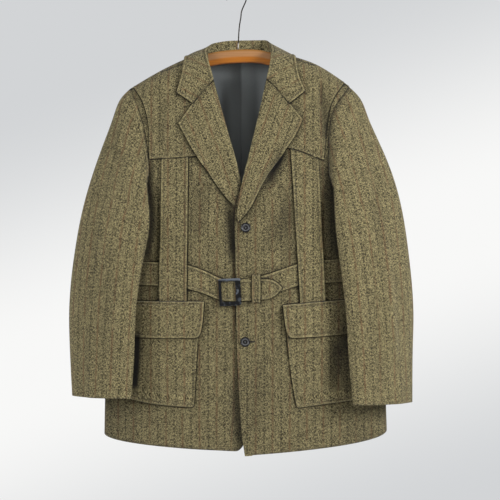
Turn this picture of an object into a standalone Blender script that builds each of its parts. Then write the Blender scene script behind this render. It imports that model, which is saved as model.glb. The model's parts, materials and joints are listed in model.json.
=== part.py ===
"""Tweed shooting jacket hanging on a wooden hanger.

Sizes are in millimetres and become metres when a mesh is made. +X is the viewer's right, +Y points
away from the viewer and +Z is up. The origin is the inside top of the hook, where the hanger hangs.
Left and right in the names are the wearer's, so the right-hand pieces lie at negative X.
"""

import math

import bmesh
import bpy
from mathutils import Matrix, Vector

METRES_PER_MM = 0.001

# Cloth and seams
WALL = 1.8                # tweed of the fronts, back, sleeves and collar
LAYER = 1.6               # tweed laid on the fronts: yokes, straps, belt, pockets, flaps
LINING = 1.0              # satin lining
SEAM = 0.3                # gap between neighbouring pieces
FRONT, BACK = -1, 1       # the two faces of the body

# Body of the jacket, a flattened tube
ROUNDNESS = 2.2           # exponent of the oval section
SHOULDER_RADIUS = 38.0    # rounding of the shoulder from front to back
SEAM_FORWARD = 18.0       # the shoulder seam lies this far over to the front
SIDE_SEAM = 0.9986        # share of the half section that a panel covers, up to the side seam
UNDERARM = -434.0
HEM_RIGHT = -902.0        # height of the hem at each side seam
HEM_LEFT = -895.0
HEM_BOW = 2.0             # the hem bows down between side seam and front edge
CHEST = -300.0            # height at which the search for a point's section starts
SECTION_STEPS = 5

# Height, middle, half width, depth of the front, depth of the back
BODY_SECTIONS = (
    (-120, 6, 248, 28, 34),
    (-190, 7, 248, 42, 38),
    (-260, 8, 249, 54, 40.5),
    (-340, 9, 252, 64.5, 42),
    (-430, 11, 257, 70, 42),
    (-520, 12, 263, 70, 41),
    (-600, 14, 269, 68, 40),
    (-700, 16, 277, 66, 40),
    (-820, 18, 284, 62, 40),
    (-945, 19, 287, 57, 40),
)

# Across, height of the top of the shoulders
SHOULDER_LINE = (
    (-216, -203),
    (-176, -178.5),
    (-136, -157.5),
    (-105, -142.5),
    (-62, -125),
    (5, -106),
    (74, -126),
    (116, -136.5),
    (144, -145.5),
    (191, -170),
    (230, -198),
)

# Height, across of each armhole edge, on the front and on the back
ARMHOLE_FRONT_RIGHT = ((-200, -215), (-229, -203), (-252, -194), (-280, -186), (-322, -178),
                       (-365, -173), (-395, -175), (-414, -186), (-427, -208), (-434, -246))
ARMHOLE_BACK_RIGHT = ((-200, -215), (-240, -206), (-300, -199), (-350, -198), (-395, -206),
                      (-414, -216), (-427, -232), (-434, -246))
ARMHOLE_FRONT_LEFT = ((-196, 229), (-214, 217), (-245, 195), (-284, 186), (-330, 183),
                      (-365, 183), (-395, 187), (-414, 200), (-427, 226), (-434, 268))
ARMHOLE_BACK_LEFT = ((-196, 229), (-240, 220), (-300, 214), (-350, 213), (-395, 222),
                     (-414, 234), (-427, 252), (-434, 268))

# Height, across of each front edge: the roll of the lapel, then the edge that buttons
EDGE_RIGHT = ((-130, -66), (-163, -52), (-197, -43), (-241, -31), (-296, -16), (-347, -1),
              (-400, 11), (-455, 25), (-500, 30), (-700, 31), (-860, 32), (-933, 22))
EDGE_LEFT = ((-128, 78), (-171, 64), (-212, 55), (-258, 45), (-308, 33), (-354, 22), (-398, 11),
             (-462, -4), (-510, -1), (-690, 1), (-754, 3), (-867, 9), (-922, 13), (-940, 18))

# Heights of the rows of the fronts and of the back, at the outer edge, from the shoulder to the hem
PANEL_ROWS = (-242, -264, -290, -318, -345, -372, -395, -414, -427, UNDERARM, -470, -510, -555,
              -600, -650, -700, -750, -800, -855)
SHOULDER_ROWS = (12.0, 26.0)   # more rows on the rounding, measured along the cloth from the seam
FRONT_COLUMNS = (0.0, 0.04, 0.09, 0.15, 0.22, 0.3, 0.4, 0.51, 0.62, 0.72, 0.8, 0.87, 0.94,
                 1.0)   # closer at the side and at the front edge

# The right front lies under the left one near the middle
UNDERLAP_DIP = 4.8
UNDERLAP_FROM = -85.0
UNDERLAP_TO = -8.0


def smooth_value(rows, key, column=1):
    """Value of one column of a table at a key, on a smooth curve through the table's rows."""
    rising = rows if rows[-1][0] > rows[0][0] else rows[::-1]
    keys = [row[0] for row in rising]
    values = [row[column] for row in rising]
    last = len(keys) - 1
    if key <= keys[0]:
        return values[0]
    if key >= keys[last]:
        return values[last]
    index = max(i for i in range(last) if keys[i] <= key)
    slopes = [(values[i + 1] - values[i]) / (keys[i + 1] - keys[i]) for i in range(last)]

    def tangent(i):
        if i == 0:
            return slopes[0]
        if i == last:
            return slopes[-1]
        if slopes[i - 1] * slopes[i] <= 0:
            return 0.0
        return 2 * slopes[i - 1] * slopes[i] / (slopes[i - 1] + slopes[i])

    step = keys[index + 1] - keys[index]
    t = (key - keys[index]) / step
    start, end = values[index], values[index + 1]
    return ((1 + 2 * t) * (1 - t) ** 2 * start + t * (1 - t) ** 2 * step * tangent(index)
            + t * t * (3 - 2 * t) * end + t * t * (t - 1) * step * tangent(index + 1))


def ease(value, low, high):
    """Soft step from 0 at low to 1 at high."""
    share = min(1.0, max(0.0, (value - low) / (high - low)))
    return share * share * (3 - 2 * share)


def path_point(points, share):
    """Point at a share of the length of a smooth open path."""
    points = [Vector(point) for point in points]
    lengths = [0.0]
    for start, end in zip(points, points[1:]):
        lengths.append(lengths[-1] + (end - start).length)
    table = [(length,) + tuple(point) for length, point in zip(lengths, points)]
    key = share * lengths[-1]
    return Vector([smooth_value(table, key, column + 1) for column in range(len(points[0]))])


def shoulder_height(x):
    return smooth_value(SHOULDER_LINE, x)


def section(z):
    """Middle, half width, front depth and back depth of the body at a height."""
    return [smooth_value(BODY_SECTIONS, z, column) for column in (1, 2, 3, 4)]


def drop(down):
    """Height lost on the way down from the shoulder's top, measured along the cloth."""
    quarter = SHOULDER_RADIUS * math.pi / 2
    if down < quarter:
        return SHOULDER_RADIUS * (1 - math.cos(down / SHOULDER_RADIUS))
    return SHOULDER_RADIUS + down - quarter


def mark(x, z):
    """Place on the body's cloth, as the share of the half section and the way down the cloth."""
    middle, half, _, _ = section(z)
    share = min(1.0, abs(x - middle) / half)
    across = math.copysign(math.asin(share ** (ROUNDNESS / 2)) * 2 / math.pi, x - middle)
    fall = max(0.0, shoulder_height(x) - z)
    if fall < SHOULDER_RADIUS:
        down = SHOULDER_RADIUS * math.acos(1 - fall / SHOULDER_RADIUS)
    else:
        down = fall - SHOULDER_RADIUS + SHOULDER_RADIUS * math.pi / 2
    return Vector((across, down))


def level_mark(across, z):
    """Place at a share of the half section, at a height."""
    middle, half, _, _ = section(z)
    sideways = math.copysign(abs(math.sin(across * math.pi / 2)) ** (2 / ROUNDNESS), across)
    return Vector((across, mark(middle + half * sideways, z)[1]))


def seam_mark(x, down):
    """Place beside the shoulder seam, a way down the cloth from the shoulder's top."""
    z = shoulder_height(x) - drop(abs(down))
    return Vector((mark(x, z)[0], down))


def side_mark(hand, z):
    """Place on the side seam of one hand, right being -1 and left 1."""
    return level_mark(hand * SIDE_SEAM, z)


def body_point(face, place):
    """Point of the body's inner face; a negative way down lies over the shoulder's top."""
    across, down = place
    if down < 0:
        face, down = -face, -down
    angle = across * math.pi / 2
    sideways = math.copysign(abs(math.sin(angle)) ** (2 / ROUNDNESS), angle)
    z = CHEST
    for _ in range(SECTION_STEPS):
        middle, half, front, back = section(z)
        x = middle + half * sideways
        z = shoulder_height(x) - drop(down)
    depth = (front if face == FRONT else back) * abs(math.cos(angle)) ** (2 / ROUNDNESS)
    depth *= math.sin(min(math.pi / 2, down / SHOULDER_RADIUS))
    return Vector((x, face * depth, z))


def body_normal(face, place):
    """Outward direction of the cloth at a place."""
    small_across, small_down = 0.0006, 0.3
    across, down = place
    across = max(small_across - SIDE_SEAM, min(SIDE_SEAM - small_across, across))
    low, high = across - small_across, across + small_across
    along = body_point(face, (high, down)) - body_point(face, (low, down))
    downward = body_point(face, (across, down + small_down)) - body_point(face, (across, down - small_down))
    return (face * along.cross(downward)).normalized()


def moved_out(face, place, lift):
    """Point of the body's cloth moved out from its inner face."""
    return body_point(face, place) + body_normal(face, place) * lift


FINISHES = {
    # Name: colour, roughness, metallic
    "tweed": ((0.125, 0.098, 0.052), 0.95, 0.0),
    "satin": ((0.035, 0.036, 0.038), 0.35, 0.0),
    "varnished_wood": ((0.36, 0.13, 0.035), 0.35, 0.0),
    "steel_wire": ((0.16, 0.14, 0.12), 0.4, 1.0),
    "dark_plastic": ((0.012, 0.012, 0.014), 0.2, 0.0),
    "dark_horn": ((0.03, 0.032, 0.035), 0.3, 0.0),
}


def finish(name):
    """Material of one finish, made once."""
    if name in bpy.data.materials:
        return bpy.data.materials[name]
    colour, roughness, metallic = FINISHES[name]
    material = bpy.data.materials.new(name)
    material.use_nodes = True
    shader = material.node_tree.nodes["Principled BSDF"]
    shader.inputs["Base Color"].default_value = (*colour, 1.0)
    shader.inputs["Roughness"].default_value = roughness
    shader.inputs["Metallic"].default_value = metallic
    material.diffuse_color = (*colour, 1.0)
    return material


def add_piece(name, points, faces, finish_name):
    """Closed mesh object from points in millimetres, facing out."""
    made = bmesh.new()
    corners = [made.verts.new(Vector(point) * METRES_PER_MM) for point in points]
    for face in faces:
        made.faces.new([corners[index] for index in face])
    bmesh.ops.triangulate(made, faces=made.faces[:], quad_method="FIXED")
    bmesh.ops.recalc_face_normals(made, faces=made.faces[:])
    if made.calc_volume(signed=True) < 0:
        bmesh.ops.reverse_faces(made, faces=made.faces[:])
    mesh = bpy.data.meshes.new(name)
    made.to_mesh(mesh)
    made.free()
    mesh.materials.append(finish(finish_name))
    mesh.shade_smooth()
    mesh.set_sharp_from_angle(angle=math.radians(35))
    piece = bpy.data.objects.new(name, mesh)
    bpy.context.scene.collection.objects.link(piece)
    return piece


def grid_faces(rows, columns, offset, ring=False):
    """Quads of a grid of points that starts at an offset; a ring joins its last column to its first."""
    faces = []
    for row in range(rows - 1):
        for column in range(columns if ring else columns - 1):
            beside = (column + 1) % columns
            first = offset + row * columns
            below = first + columns
            faces.append((first + column, first + beside, below + beside, below + column))
    return faces


def add_wall(name, inner, outer, finish_name="tweed"):
    """Cloth between two like grids of points."""
    rows, columns = len(inner), len(inner[0])
    points = [point for row in inner for point in row] + [point for row in outer for point in row]
    count = rows * columns
    faces = grid_faces(rows, columns, 0) + [face[::-1] for face in grid_faces(rows, columns, count)]
    rim = [column for column in range(columns)]
    rim += [row * columns + columns - 1 for row in range(1, rows)]
    rim += [(rows - 1) * columns + column for column in range(columns - 2, -1, -1)]
    rim += [row * columns for row in range(rows - 2, 0, -1)]
    for here, there in zip(rim, rim[1:] + rim[:1]):
        faces.append((there, here, here + count, there + count))
    return add_piece(name, points, faces, finish_name)


def no_lift(x, z):
    return 0.0


def add_panel(name, face, places, base, thickness, lift=no_lift, finish_name="tweed"):
    """Cloth laid at a base height on the body, with a lift worked out for each point."""
    inner, outer = [], []
    for row in places:
        points = [body_point(face, place) for place in row]
        normals = [body_normal(face, place) for place in row]
        heights = [base + lift(point.x, point.z) for point in points]
        inner.append([p + n * h for p, n, h in zip(points, normals, heights)])
        outer.append([p + n * (h + thickness) for p, n, h in zip(points, normals, heights)])
    return add_wall(name, inner, outer, finish_name)


def even(count):
    """Shares of an even division."""
    return [step / count for step in range(count + 1)]


def patch(top, bottom, start, end, row_shares, column_shares):
    """Grid of places between four edges: top and bottom run the same way, as do start and end."""
    def edge(points, share):
        return mark(*path_point(points, share))

    grid = []
    for v in row_shares:
        line = []
        for u in column_shares:
            blend = edge(top, u) * (1 - v) + edge(bottom, u) * v
            blend += edge(start, v) * (1 - u) + edge(end, v) * u
            blend -= (edge(top, 0) * (1 - u) + edge(top, 1) * u) * (1 - v)
            blend -= (edge(bottom, 0) * (1 - u) + edge(bottom, 1) * u) * v
            line.append(blend)
        grid.append(line)
    return grid


def outer_mark(hand, armhole, z):
    """Place on a panel's outer edge: the armhole above the underarm, the side seam below."""
    if z > UNDERARM:
        return mark(smooth_value(armhole, z), z)
    return side_mark(hand, z)


def shoulder_rows(x, down):
    """Height of a row on the rounding of the shoulder, at one distance across."""
    return shoulder_height(x) - drop(down)


def front_places(hand, armhole, edge, hem):
    """Rows of places of one front, from its outer edge to its front edge."""
    point_x, neck_x = armhole[0][1], edge[0][1]
    seam = SEAM_FORWARD + SEAM / 2
    grid = []
    for extra in (0.0,) + SHOULDER_ROWS:
        outer_z = shoulder_rows(point_x, seam + extra)
        inner_z = shoulder_rows(neck_x, seam + extra)
        outer = mark(smooth_value(armhole, outer_z), outer_z)
        inner = mark(smooth_value(edge, inner_z), inner_z)
        grid.append([outer.lerp(inner, share) for share in FRONT_COLUMNS])
    stretch = (edge[-1][0] - inner_z) / (hem - outer_z)
    for z in PANEL_ROWS + (hem,):
        edge_z = inner_z + (z - outer_z) * stretch
        bow = HEM_BOW if z == hem else 0.0
        outer = outer_mark(hand, armhole, z)[0]
        inner = mark(smooth_value(edge, edge_z), edge_z)[0]
        line = []
        for share in FRONT_COLUMNS:
            height = z + (edge_z - z) * share - bow * math.sin(math.pi * share)
            line.append(level_mark(outer + (inner - outer) * share, height))
        grid.append(line)
    return grid


def underlap(x, z):
    """The right front, and what lies on it, sinks under the left front near the middle."""
    return -UNDERLAP_DIP * ease(x, UNDERLAP_FROM, UNDERLAP_TO)


def add_fronts():
    right = front_places(-1, ARMHOLE_FRONT_RIGHT, EDGE_RIGHT, HEM_RIGHT)
    left = front_places(1, ARMHOLE_FRONT_LEFT, EDGE_LEFT, HEM_LEFT)
    add_panel("front_right", FRONT, right, 0.0, WALL, underlap)
    add_panel("front_left", FRONT, left, 0.0, WALL)


# Across of the back's columns at the shoulder, and the way down the cloth to the back's top edge
BACK_COLUMNS = (
    (-215, -17.8), (-175, -17.8), (-140, -17.8), (-105, -17.8), (-67, -17.8), (-65, 0.0),
    (-62, 14.0), (-50, 36.0), (-24, 46.0), (5, 48.0), (34, 46.0), (60, 36.0), (73, 14.0),
    (76.5, 0.0), (79, -17.8), (112, -17.8), (150, -17.8), (190, -17.8), (229, -17.8),
)
BACK_TOP_SHARES = (0.0, 0.09, 0.18, 0.28, 0.4, 0.6, 0.8)   # rows from the top edge to the first plain row


def add_back():
    """The back, in one piece, over the shoulders to the seams and round the neck."""
    first = PANEL_ROWS[0]
    tops = [seam_mark(x, down) for x, down in BACK_COLUMNS]
    span = tops[-1][0] - tops[0][0]
    shares = [(place[0] - tops[0][0]) / span for place in tops]

    def plain_row(right_z, left_z):
        right = outer_mark(-1, ARMHOLE_BACK_RIGHT, right_z)[0]
        left = outer_mark(1, ARMHOLE_BACK_LEFT, left_z)[0]
        return [level_mark(right + (left - right) * share, right_z + (left_z - right_z) * share)
                for share in shares]

    below = plain_row(first, first)
    grid = []
    for level in BACK_TOP_SHARES:
        grid.append([top.lerp(under, level) for top, under in zip(tops, below)])
    grid += [plain_row(z, z) for z in PANEL_ROWS] + [plain_row(HEM_RIGHT, HEM_LEFT)]
    add_panel("back", BACK, grid, 0.0, WALL)


# What lies on the fronts
LAID = 0.5                          # gap under what is laid on
ON_FRONT = WALL + LAID              # height of the first layer above the body's inner face
ON_LAYER = ON_FRONT + LAYER + LAID  # height of what lies on that layer
YOKE_TOP = SEAM_FORWARD + SEAM / 2
YOKE_ROWS = (0.0, 0.04, 0.08, 0.12, 0.17, 0.22, 0.28, 0.36, 0.46, 0.58, 0.72, 0.86, 1.0)

# Across, height of the yokes' lower edges and outer edges
YOKE_RIGHT = {
    "top": (-88, -206),
    "outer": ((-188, -228), (-178, -257), (-173, -285), (-172, -320), (-172, -347)),
    "bottom": ((-50, -340), (-77, -342), (-125, -345), (-172, -347)),
}
YOKE_LEFT = {
    "top": (100, 216),
    "outer": ((192, -228), (183, -253), (178, -298), (176, -325), (174, -349)),
    "bottom": ((72, -317), (104, -326), (130, -333), (155, -343), (174, -349)),
}


def add_yoke(name, yoke, sink=no_lift):
    near, far = yoke["top"]
    seam_z = [(x, shoulder_rows(x, YOKE_TOP)) for x in (near, (near + far) / 2, far)]
    outer = (seam_z[-1],) + yoke["outer"]
    inner = (seam_z[0], yoke["bottom"][0])
    places = patch(seam_z, yoke["bottom"], inner, outer, YOKE_ROWS, even(12))
    add_panel(name, FRONT, places, ON_FRONT, LAYER, sink)


# Straps: across of the inner and the outer edge, at the yoke and at the flap
STRAP_RIGHT = {"top": (-96, -147), "foot": (-99, -152)}
STRAP_LEFT = {"top": (109, 162), "foot": (128, 176)}
STRAP_TUCK = 0.6           # the strap's ends stay this far from the yoke and the flap
BELT_RISE = LAYER + 2 * LAID
BELT_BAND = (-545.0, -612.0)   # heights between which the straps rise over the belt
BELT_BAND_EASE = 22.0


def over_belt(x, z):
    top, foot = BELT_BAND
    return BELT_RISE * ease(z, foot - BELT_BAND_EASE, foot) * (1 - ease(z, top, top + BELT_BAND_EASE))


def add_strap(name, strap, yoke, flap):
    """Strap sewn from the yoke's lower edge to the flap's top, over the belt."""
    top = [(x, smooth_value(yoke["bottom"], x) - STRAP_TUCK) for x in strap["top"]]
    foot = [(x, smooth_value(flap["top"], x) + STRAP_TUCK) for x in strap["foot"]]
    places = patch(top, foot, (top[0], foot[0]), (top[1], foot[1]), even(16), even(3))
    add_panel(name, FRONT, places, ON_FRONT, LAYER, over_belt)


# Pockets and flaps: across and height along each edge
POCKET_RIGHT = {
    "top": ((-70, -645), (-150, -645), (-228, -645)),
    "bottom": ((-85, -843), (-161, -837), (-238, -821)),
    "inner": ((-70, -645), (-76, -697), (-82, -800), (-85, -843)),
    "outer": ((-228, -645), (-233, -730), (-238, -821)),
}
POCKET_LEFT = {
    "top": ((97, -651), (170, -646), (252, -641)),
    "bottom": ((121, -844), (171, -837), (266, -825)),
    "inner": ((97, -651), (108, -767), (121, -844)),
    "outer": ((252, -641), (260, -730), (266, -825)),
}
FLAP_RIGHT = {
    "top": ((-64, -633.3), (-150, -633.3), (-232, -633)),
    "bottom": ((-72, -703), (-150, -704), (-236, -702)),
    "inner": ((-64, -633.3), (-67, -675), (-72, -703)),
    "outer": ((-232, -633), (-234, -668), (-236, -702)),
}
FLAP_LEFT = {
    "top": ((93, -640.4), (176, -633.3), (256, -628)),
    "bottom": ((104, -704), (160, -701), (260, -694)),
    "inner": ((93, -640.4), (98, -680), (104, -704)),
    "outer": ((256, -628), (258, -662), (260, -694)),
}
POCKET_SWELL = 3.0         # the pocket's face stands off the front
POCKET_ROWS = (0.0, 0.08, 0.16, 0.4, 0.65, 0.92, 0.96, 1.0)
POCKET_EASE = 16.0
POCKET_MOUTH_EASE = 30.0   # the mouth lies close under the flap
FLAP_RISE = POCKET_SWELL + LAYER + 2 * LAID
FLAP_EASE = 10.0
FLAP_ROWS = (0.0, 0.06, 0.12, 0.2, 0.4, 0.7, 1.0)


def add_pocket(name, edges):
    """Patch pocket, sewn down at three edges and standing off in the middle, open at the top."""
    places = patch(edges["top"], edges["bottom"], edges["inner"], edges["outer"], POCKET_ROWS, even(12))
    low_x, high_x = sorted((edges["inner"][-1][0], edges["outer"][-1][0]))
    foot_z = edges["bottom"][0][1]
    top_z = edges["top"][0][1]

    def swell(x, z):
        across = ease(x, low_x, low_x + POCKET_EASE) * (1 - ease(x, high_x - POCKET_EASE, high_x))
        mouth = 1 - ease(z, top_z - POCKET_MOUTH_EASE, top_z)
        return POCKET_SWELL * across * mouth * ease(z, foot_z, foot_z + POCKET_EASE)

    add_panel(name, FRONT, places, ON_FRONT, LAYER, swell)


def add_flap(name, edges):
    """Flap, sewn on above the pocket's mouth and hanging over it."""
    places = patch(edges["top"], edges["bottom"], edges["inner"], edges["outer"], FLAP_ROWS, even(12))

    def over_pocket(x, z):
        top = smooth_value(edges["top"], x)
        return FLAP_RISE * (1 - ease(z, top - FLAP_EASE, top))

    add_panel(name, FRONT, places, ON_FRONT, LAYER, over_pocket)


# Belt: across, height of the middle and width of each half, from the side seam inwards
BELT_RIGHT = ((-246, -577, 45), (-186, -577, 45), (-125, -579, 45), (-98, -583, 45), (-60, -595, 43),
              (-34, -607, 41), (-12, -611, 39), (20, -610, 39), (68, -607, 38), (81, -606, 22),
              (90, -605, 2))
BELT_LEFT = ((272, -570, 44), (187, -572, 44), (140, -575, 43), (110, -583, 41), (66, -598, 40),
             (30, -607, 40), (-10, -611, 40))
BELT_STRIPS = 3
BELT_CROSSES = (-46.0, -14.0)    # the tongue half climbs onto the buckle half between these


def belt_places(rows, stations):
    """Rows of places across the belt, at even shares of the body's half section."""
    table = [(mark(x, z)[0], x, z, width) for x, z, width in rows]
    start, end = table[0][0], table[-1][0]
    grid = []
    for share in stations:
        across = start + (end - start) * share
        x, z, width = [smooth_value(table, across, column) for column in (1, 2, 3)]
        grid.append([mark(x, z + width * (0.5 - side)) for side in even(BELT_STRIPS)])
    return grid


def tongue_climb(x, z):
    return (LAYER + LAID) * ease(x, *BELT_CROSSES)


def add_belt():
    add_panel("belt_right", FRONT, belt_places(BELT_RIGHT, even(36)), ON_FRONT, LAYER, tongue_climb)
    add_panel("belt_left", FRONT, belt_places(BELT_LEFT, even(30)), ON_FRONT, LAYER)


# Back stretch of the belt, from side seam to side seam
BELT_BACK_WIDTH = 45.0
BELT_BACK_Z = ((-1, -577), (0, -575), (1, -570))
BELT_BACK_REACH = 0.985          # share of the half section
BELT_BACK_COUNT = 30


def add_belt_back():
    grid = []
    for step in range(BELT_BACK_COUNT + 1):
        across = BELT_BACK_REACH * (2 * step / BELT_BACK_COUNT - 1)
        z = smooth_value(BELT_BACK_Z, across)
        heights = [z + BELT_BACK_WIDTH * (0.5 - side) for side in even(BELT_STRIPS)]
        grid.append([level_mark(across, height) for height in heights])
    add_panel("belt_back", BACK, grid, ON_FRONT, LAYER)


KEEPER = {"from": 32.0, "to": 47.0, "top": -579.5, "foot": -634.0}
KEEPER_EDGE = 3.0


def add_keeper():
    """Loop of cloth over the tongue and the buckle half, turned down at both edges of the belt."""
    rise = 2 * (LAYER + LAID)
    top, foot = KEEPER["top"], KEEPER["foot"]

    def over_tongue(x, z):
        return rise * ease(z, foot, foot + KEEPER_EDGE) * (1 - ease(z, top - KEEPER_EDGE, top))

    heights = (top, top - 1.0, top - 2.0, top - KEEPER_EDGE, (top + foot) / 2, foot + KEEPER_EDGE,
               foot + 2.0, foot + 1.0, foot)
    places = [[mark(x, z) for x in (KEEPER["from"], KEEPER["to"])] for z in heights]
    add_panel("belt_keeper", FRONT, places, ON_FRONT, LAYER, over_tongue)


# Lapels: across and height along the roll, the top edge with the notch in it, and the outer edge
LAPEL_RIGHT = {
    "roll": ((-46, -190), (-31, -241), (-16, -296), (-1, -347), (11, -400), (20, -440)),
    "top": ((-46, -190), (-86, -238.6), (-113.5, -278)),
    "outer": ((-113.5, -278), (-93, -317), (-74, -348), (-50, -384), (-23, -423), (1, -446)),
    "foot": ((20, -440), (1, -446)),
}
LAPEL_LEFT = {
    "roll": ((61, -188), (55, -212), (45, -258), (33, -308), (22, -354), (11, -398), (0, -450)),
    "top": ((61, -188), (105, -238.6), (131, -270)),
    "outer": ((131, -270), (116, -303), (97, -330), (73, -372), (41, -425), (5, -462)),
    "foot": ((0, -450), (5, -462)),
}
LAPEL_ROWS = (0.0, 0.08, 0.17, 0.27, 0.37, 0.47, 0.57, 0.67, 0.77, 0.87, 0.94, 1.0)
LAPEL_COLUMNS = (0.0, 0.05, 0.12, 0.25, 0.42, 0.56, 0.7, 0.85, 1.0)
ROLL_WIDTH = 14.0          # the lapel climbs over this width from the roll
ROLL_SWELL = 3.0           # soft standing of the roll
LAPEL_FLAT_EASE = 60.0     # the lapel flattens towards its foot


def add_lapel(name, lapel, flat_below, sink=no_lift):
    """Turned-back front: it leaves the front at the roll, climbs and lies on the yoke."""
    hand = 1 if lapel["top"][-1][0] > 0 else -1
    places = patch(lapel["top"], lapel["foot"], lapel["roll"], lapel["outer"], LAPEL_ROWS, LAPEL_COLUMNS)
    roll = [(z, x) for x, z in lapel["roll"]]

    def climb(x, z):
        away = max(0.0, hand * (x - smooth_value(roll, z)))
        swell = ROLL_SWELL * (1 - ease(away, ROLL_WIDTH, 4 * ROLL_WIDTH))
        rise = (LAYER + LAID + swell) * ease(away, 0.0, ROLL_WIDTH)
        return rise * ease(z, flat_below, flat_below + LAPEL_FLAT_EASE) + sink(x, z)

    add_panel(name, FRONT, places, ON_FRONT, WALL, climb)


# Collar: the crease where the fall turns over, from the right gorge round the neck to the left one
# Share, across, depth, height
COLLAR_CREASE = (
    (0.00, -46, -47, -188),
    (0.12, -52, -36, -163),
    (0.22, -58, -17, -138),
    (0.30, -59, 5, -116),
    (0.39, -46, 29, -101),
    (0.50, 4, 43, -97),
    (0.61, 57, 29, -98),
    (0.70, 69, 5, -112),
    (0.78, 70, -17, -135),
    (0.88, 67, -36, -161),
    (1.00, 61, -47, -186),
)
# Share, face, across, height of the fall's outer edge; the shoulder's top has no depth
COLLAR_EDGE = (
    (0.00, FRONT, -118, -215),
    (0.13, FRONT, -107, -176),
    (0.24, FRONT, -102, -148),
    (0.30, BACK, -100, -141),
    (0.38, BACK, -80, -150),
    (0.50, BACK, 4, -158),
    (0.62, BACK, 90, -148),
    (0.70, BACK, 113, -138),
    (0.76, FRONT, 117, -148),
    (0.87, FRONT, 123, -178),
    (1.00, FRONT, 136, -212),
)
# Share, across, depth, height of the stand's foot
COLLAR_FOOT = (
    (0.20, -55, -17.5, -147),
    (0.25, -60, -9, -132),
    (0.30, -62, 4, -124),
    (0.38, -51, 24, -128),
    (0.50, 4, 34, -130.5),
    (0.62, 62, 24, -126),
    (0.70, 73, 4, -121.5),
    (0.75, 72, -9, -129),
    (0.80, 69, -17.5, -145),
)
NOTCH_RIGHT = (-86, -237)
NOTCH_LEFT = (105, -237)
COLLAR_HEIGHT = ON_LAYER + 1.4   # the fall lies on the yokes
NOTCH_SHARE = 0.6                # the notch divides the collar's front end
NOTCH_REACH = 0.2                # share of the collar that the notched end shapes
FALL_SHARES = (0.0, 0.1, 0.25, 0.42, NOTCH_SHARE, 0.8, 1.0)
FALL_SWELL = 4.0
COLLAR_STATIONS = (0.0, 0.04, 0.08, 0.13, 0.18, 0.22, 0.26, 0.30, 0.34, 0.38, 0.42, 0.46, 0.50,
                   0.54, 0.58, 0.62, 0.66, 0.70, 0.74, 0.78, 0.82, 0.87, 0.92, 0.96, 1.0)
STAND_STATIONS = (0.20, 0.225, 0.25, 0.275, 0.30, 0.34, 0.38, 0.42, 0.46, 0.50,
                  0.54, 0.58, 0.62, 0.66, 0.70, 0.725, 0.75, 0.775, 0.80)
NECK_MIDDLE = Vector((5.0, 0.0, -150.0))
CLEARING_STEPS = 3


def collar_crease(share):
    return Vector([smooth_value(COLLAR_CREASE, share, column) for column in (1, 2, 3)])


def collar_edge(share):
    """Point of the fall's outer edge, on the body's cloth moved out."""
    table = []
    for row_share, face, x, z in COLLAR_EDGE:
        point = moved_out(face, mark(x, z), COLLAR_HEIGHT)
        table.append((row_share, *point))
    return Vector([smooth_value(table, share, column) for column in (1, 2, 3)])


def clear_of_body(point, height):
    """Point pushed out until it lies a height above the body's inner face."""
    for _ in range(CLEARING_STEPS):
        point = pushed_out(point, height)
    return point


def pushed_out(point, height):
    """One step of the push, along the body's normal."""
    face = FRONT if point.y < 0 else BACK
    across, down = mark(point.x, point.z)
    place = Vector((max(-SIDE_SEAM, min(SIDE_SEAM, across)), down))
    above_round = point.z - shoulder_height(point.x) + SHOULDER_RADIUS
    if above_round > 0:
        depth = abs(body_point(face, (place[0], SHOULDER_RADIUS * math.pi / 2)).y)
        angle = math.atan2(abs(point.y) / depth, above_round / SHOULDER_RADIUS)
        place = Vector((place[0], SHOULDER_RADIUS * angle))
    normal = body_normal(face, place)
    short = height - (point - body_point(face, place)).dot(normal)
    return point + normal * max(0.0, short)


def grid_normals(grid, towards):
    """Normals of a grid of points, turned to point away from a middle."""
    normals = []
    last_row, last_column = len(grid) - 1, len(grid[0]) - 1
    for row, line in enumerate(grid):
        normal_line = []
        for column, point in enumerate(line):
            down = grid[min(row + 1, last_row)][column] - grid[max(row - 1, 0)][column]
            along = line[min(column + 1, last_column)] - line[max(column - 1, 0)]
            normal_line.append(down.cross(along).normalized())
        normals.append(normal_line)
    middle_row, middle_column = last_row // 2, last_column // 2
    outward = grid[middle_row][middle_column] - towards
    if outward.dot(normals[middle_row][middle_column]) < 0:
        normals = [[-normal for normal in line] for line in normals]
    return normals


def add_collar_fall():
    """Fall of the collar, from the crease down to its outer edge, with the notch at each end."""
    ends = {0: NOTCH_RIGHT, 1: NOTCH_LEFT}
    notches = {end: moved_out(FRONT, mark(x, z), COLLAR_HEIGHT) for end, (x, z) in ends.items()}

    def end_point(end, share):
        """Point on the collar's front end: along the gorge to the notch, then out to the tip."""
        crease, edge = collar_crease(end), collar_edge(end)
        if share <= NOTCH_SHARE:
            return crease.lerp(notches[end], share / NOTCH_SHARE)
        return notches[end].lerp(edge, (share - NOTCH_SHARE) / (1 - NOTCH_SHARE))

    grid = []
    for station in COLLAR_STATIONS:
        crease, edge = collar_crease(station), collar_edge(station)
        near_end = 0 if station < 0.5 else 1
        reach = 1 - ease(abs(station - near_end), 0.0, NOTCH_REACH)
        line = []
        for share in FALL_SHARES:
            plain = crease.lerp(edge, share)
            pull = end_point(near_end, share) - collar_crease(near_end).lerp(collar_edge(near_end), share)
            swell = FALL_SWELL * math.sin(math.pi * share) * (1 - reach)
            laid = plain + pull * reach + (plain - NECK_MIDDLE).normalized() * swell
            line.append(clear_of_body(laid, COLLAR_HEIGHT))
        grid.append(line)
    normals = grid_normals(grid, NECK_MIDDLE)
    outer = [[p + n * WALL for p, n in zip(*lines)] for lines in zip(grid, normals)]
    add_wall("collar_fall", grid, outer)


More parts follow.
